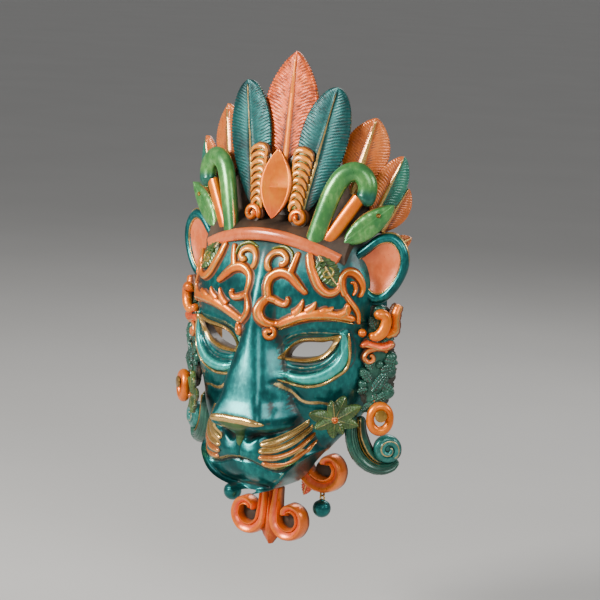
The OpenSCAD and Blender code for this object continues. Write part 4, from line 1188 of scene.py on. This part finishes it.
chin = plane_at(0, 16, 0, 0)
line = curve([(23, 80), (27.5, 68), (36, 60.4), (47.5, 58.6), (56.8, 64), (59.4, 73.4), (54.4, 80.6),
              (47.6, 79.4), (46.4, 74.6)], 0.6)
pair("chin_scroll", [
    bar(chin, line, [12, 13.6, 14.6, 14.6, 13.6, 12.6, 11, 9.6, 8], [9, 11.6, 12, 12, 12, 12, 12.4, 12.4],
        MOULD, (2, 4), wave=0.02),
    boss(chin, circle(9.5, 36, 45, 70), [(0, 0.5), (1, 0.5), (1, 3), (0, 4)], (45, 70), paint=1),
    plume(plane_at(33, 18, 66, 0, 196), 20, 11, 0.9, 2, 4, 2.4, quill=(0.7, 0.6), barb=0.9, serrate=0.25,
        lift=3, tone=1.0, gilt=0.0)
], [BEARD, UMBER])
beard = plane_at(0, 27, 0, 0)
piece("beard_scrolls", twin([
    bar(beard, curve([(7.4, 53), (6.8, 42), (6.6, 30), (8.6, 19.6), (16.4, 13.2), (26, 14.6), (31.6, 22.6),
        (30.0, 32), (23, 36), (17, 33.2), (17.2, 28)], 0.5), [7, 8, 9.4, 10.6, 11.4, 11.2, 10.2, 9.2, 8,
        6.6], [8, 9.6, 11.6, 12, 12, 12, 12, 12.4, 12.4], MOULD, (2, 3)),
    boss(beard, circle(8.4, 36, 20, 25), [(0, 0.5), (1, 0.5), (1, 3), (0, 4)], (20, 25), paint=1)
]), "beard_scrolls", [BEARD, UMBER])
drop = plane_at(0, 28, 0, 0)
RIDGED = rib((1, 0, 0, 1, 0), (1, 0.3, 0, 0.6, 0), (0.8, 0.5, 0.1, 0.1, 0), (0.3, 0.8, 0, 0, 0),
             (0.1, 1, 0.4, 0, 0), (-0.1, 1, 0.4, 0, 0), (-0.3, 0.8, 0, 0, 0), (-0.8, 0.5, 0.1, 0.1, 0),
             (-1, 0.3, 0, 0.6, 0), (-1, 0, 0, 1, 0))
piece("beard_drop", [
    bar(drop, curve([(0, 52), (0, 36), (0, 26), (0, 16), (0, 9), (0, 0.2)], 0.4),
        [2.4, 3, 5, 10, 20, 21, 14, 3], [5, 7, 8, 8, 7, 4], RIDGED, (1, 1.2), tone=0.3)
], "beard_drop", [CORAL])

# ---- beads ----

LOOP_R, BEAD_R, BEAD_PIVOT = 1.9, 7.8, 49
hang = plane_at(45, 22, BEAD_PIVOT - LOOP_R, 0)
ball = plane_at(45, 22, BEAD_PIVOT - 2 * LOOP_R + 0.4 - BEAD_R, 0)


def turned(a, b, h):
    """A turned piece stands up: its profile's height runs up and its circle lies level."""
    return ball(a, h, b)


pair("bead", [
    bar(hang, circle(1.9, 32), 1.6, 1.6, full_round(10), closed=True, lift=-0.8, gilt=1.0, paint=1),
    boss(turned, circle(1.0, 40), [(0, -7.8), (2.5, -7.4), (5.2, -5.8), (7.1, -3.2), (7.8, 0), (7.4, 2.6),
        (7.0, 3.0), (7.1, 3.5), (5.8, 5.2), (3.6, 6.6), (2.6, 6.9), (2.4, 7.6), (1.2, 8.0), (0, 8.0)],
        soften=0.35)
], [TEAL, GILT], body="bead")

# ---- bought parts and bare wood keep their own shapes ----

for node, paint in (("crown_board", UMBER), ("bead_staples", BRASS), ("hanging_batten", PINE),
                    ("hanger_plate", STEEL), ("hanger_screws", STEEL)):
    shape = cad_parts[node]
    shape.data.materials.clear()
    shape.data.materials.append(paint)

# ---- room, light, camera ----

def stage_disc():
    """A flat round floor below the mask, 40 m in radius."""
    edge = circle(40, 96)
    points = np.column_stack([edge, np.full(len(edge), FOOT - 0.09)])
    mesh = bpy.data.meshes.new("floor")
    mesh.from_pydata(points.tolist(), [], [list(range(len(edge)))])
    f = Finish("pale_floor")
    cloud = f.noise(3, 3, 0.5)
    f.finish(f.mix(cloud, tint("bdbbb7"), tint("c6c4c0")), 0.85, 0.0, f.bump(f.noise(80, 2), 0.001, 0.1))
    mesh.materials.append(f.material)
    floor = bpy.data.objects.new("floor", mesh)
    bpy.context.scene.collection.objects.link(floor)


stage_disc()
world = bpy.data.worlds.new("studio")
bpy.context.scene.world = world
world.use_nodes = True
sky = world.node_tree.nodes["Background"]
sky.inputs["Color"].default_value = (0.80, 0.81, 0.83, 1)
sky.inputs["Strength"].default_value = 0.34


def soft_light(name, azimuth, height, distance, size, power, colour=(1, 1, 1)):
    """An area light that looks at the middle of the mask."""
    a, e = math.radians(azimuth), math.radians(height)
    aim = Vector((0, -0.03, FOOT + 0.21))
    out = Vector((math.sin(a) * math.cos(e), -math.cos(a) * math.cos(e), math.sin(e)))
    lamp = bpy.data.lights.new(name, "AREA")
    lamp.shape, lamp.size, lamp.energy, lamp.color = "DISK", size, power, colour
    thing = bpy.data.objects.new(name, lamp)
    thing.location = aim + out * distance
    thing.rotation_euler = (-out).to_track_quat("-Z", "Y").to_euler()
    bpy.context.scene.collection.objects.link(thing)


soft_light("key", -31, 24, 1.4, 0.5, 34, (1, 0.98, 0.95))
soft_light("front", 45, 25, 2.0, 0.9, 12)
soft_light("right", 100, 25, 1.6, 0.6, 9)
soft_light("behind", 190, 40, 1.8, 0.9, 12)

turn, rise, roll = math.radians(31), math.radians(9.2), math.radians(2.85)
right = Vector((math.cos(turn), math.sin(turn), 0))
back = Vector((math.sin(turn) * math.cos(rise), -math.cos(turn) * math.cos(rise), math.sin(rise)))
up = back.cross(right)
rolled_right = right * math.cos(roll) + up * math.sin(roll)
rolled_up = up * math.cos(roll) - right * math.sin(roll)
lens = bpy.data.cameras.new("camera")
lens.lens, lens.sensor_width, lens.clip_start = 142.5, 36, 0.05
camera = bpy.data.objects.new("camera", lens)
axes = Matrix((rolled_right, rolled_up, back)).transposed()
camera.matrix_world = Matrix.Translation(Vector((0.0122, -0.020, FOOT + 0.2122)) + back * 2.0) @ axes.to_4x4()
bpy.context.scene.collection.objects.link(camera)
bpy.context.scene.camera = camera
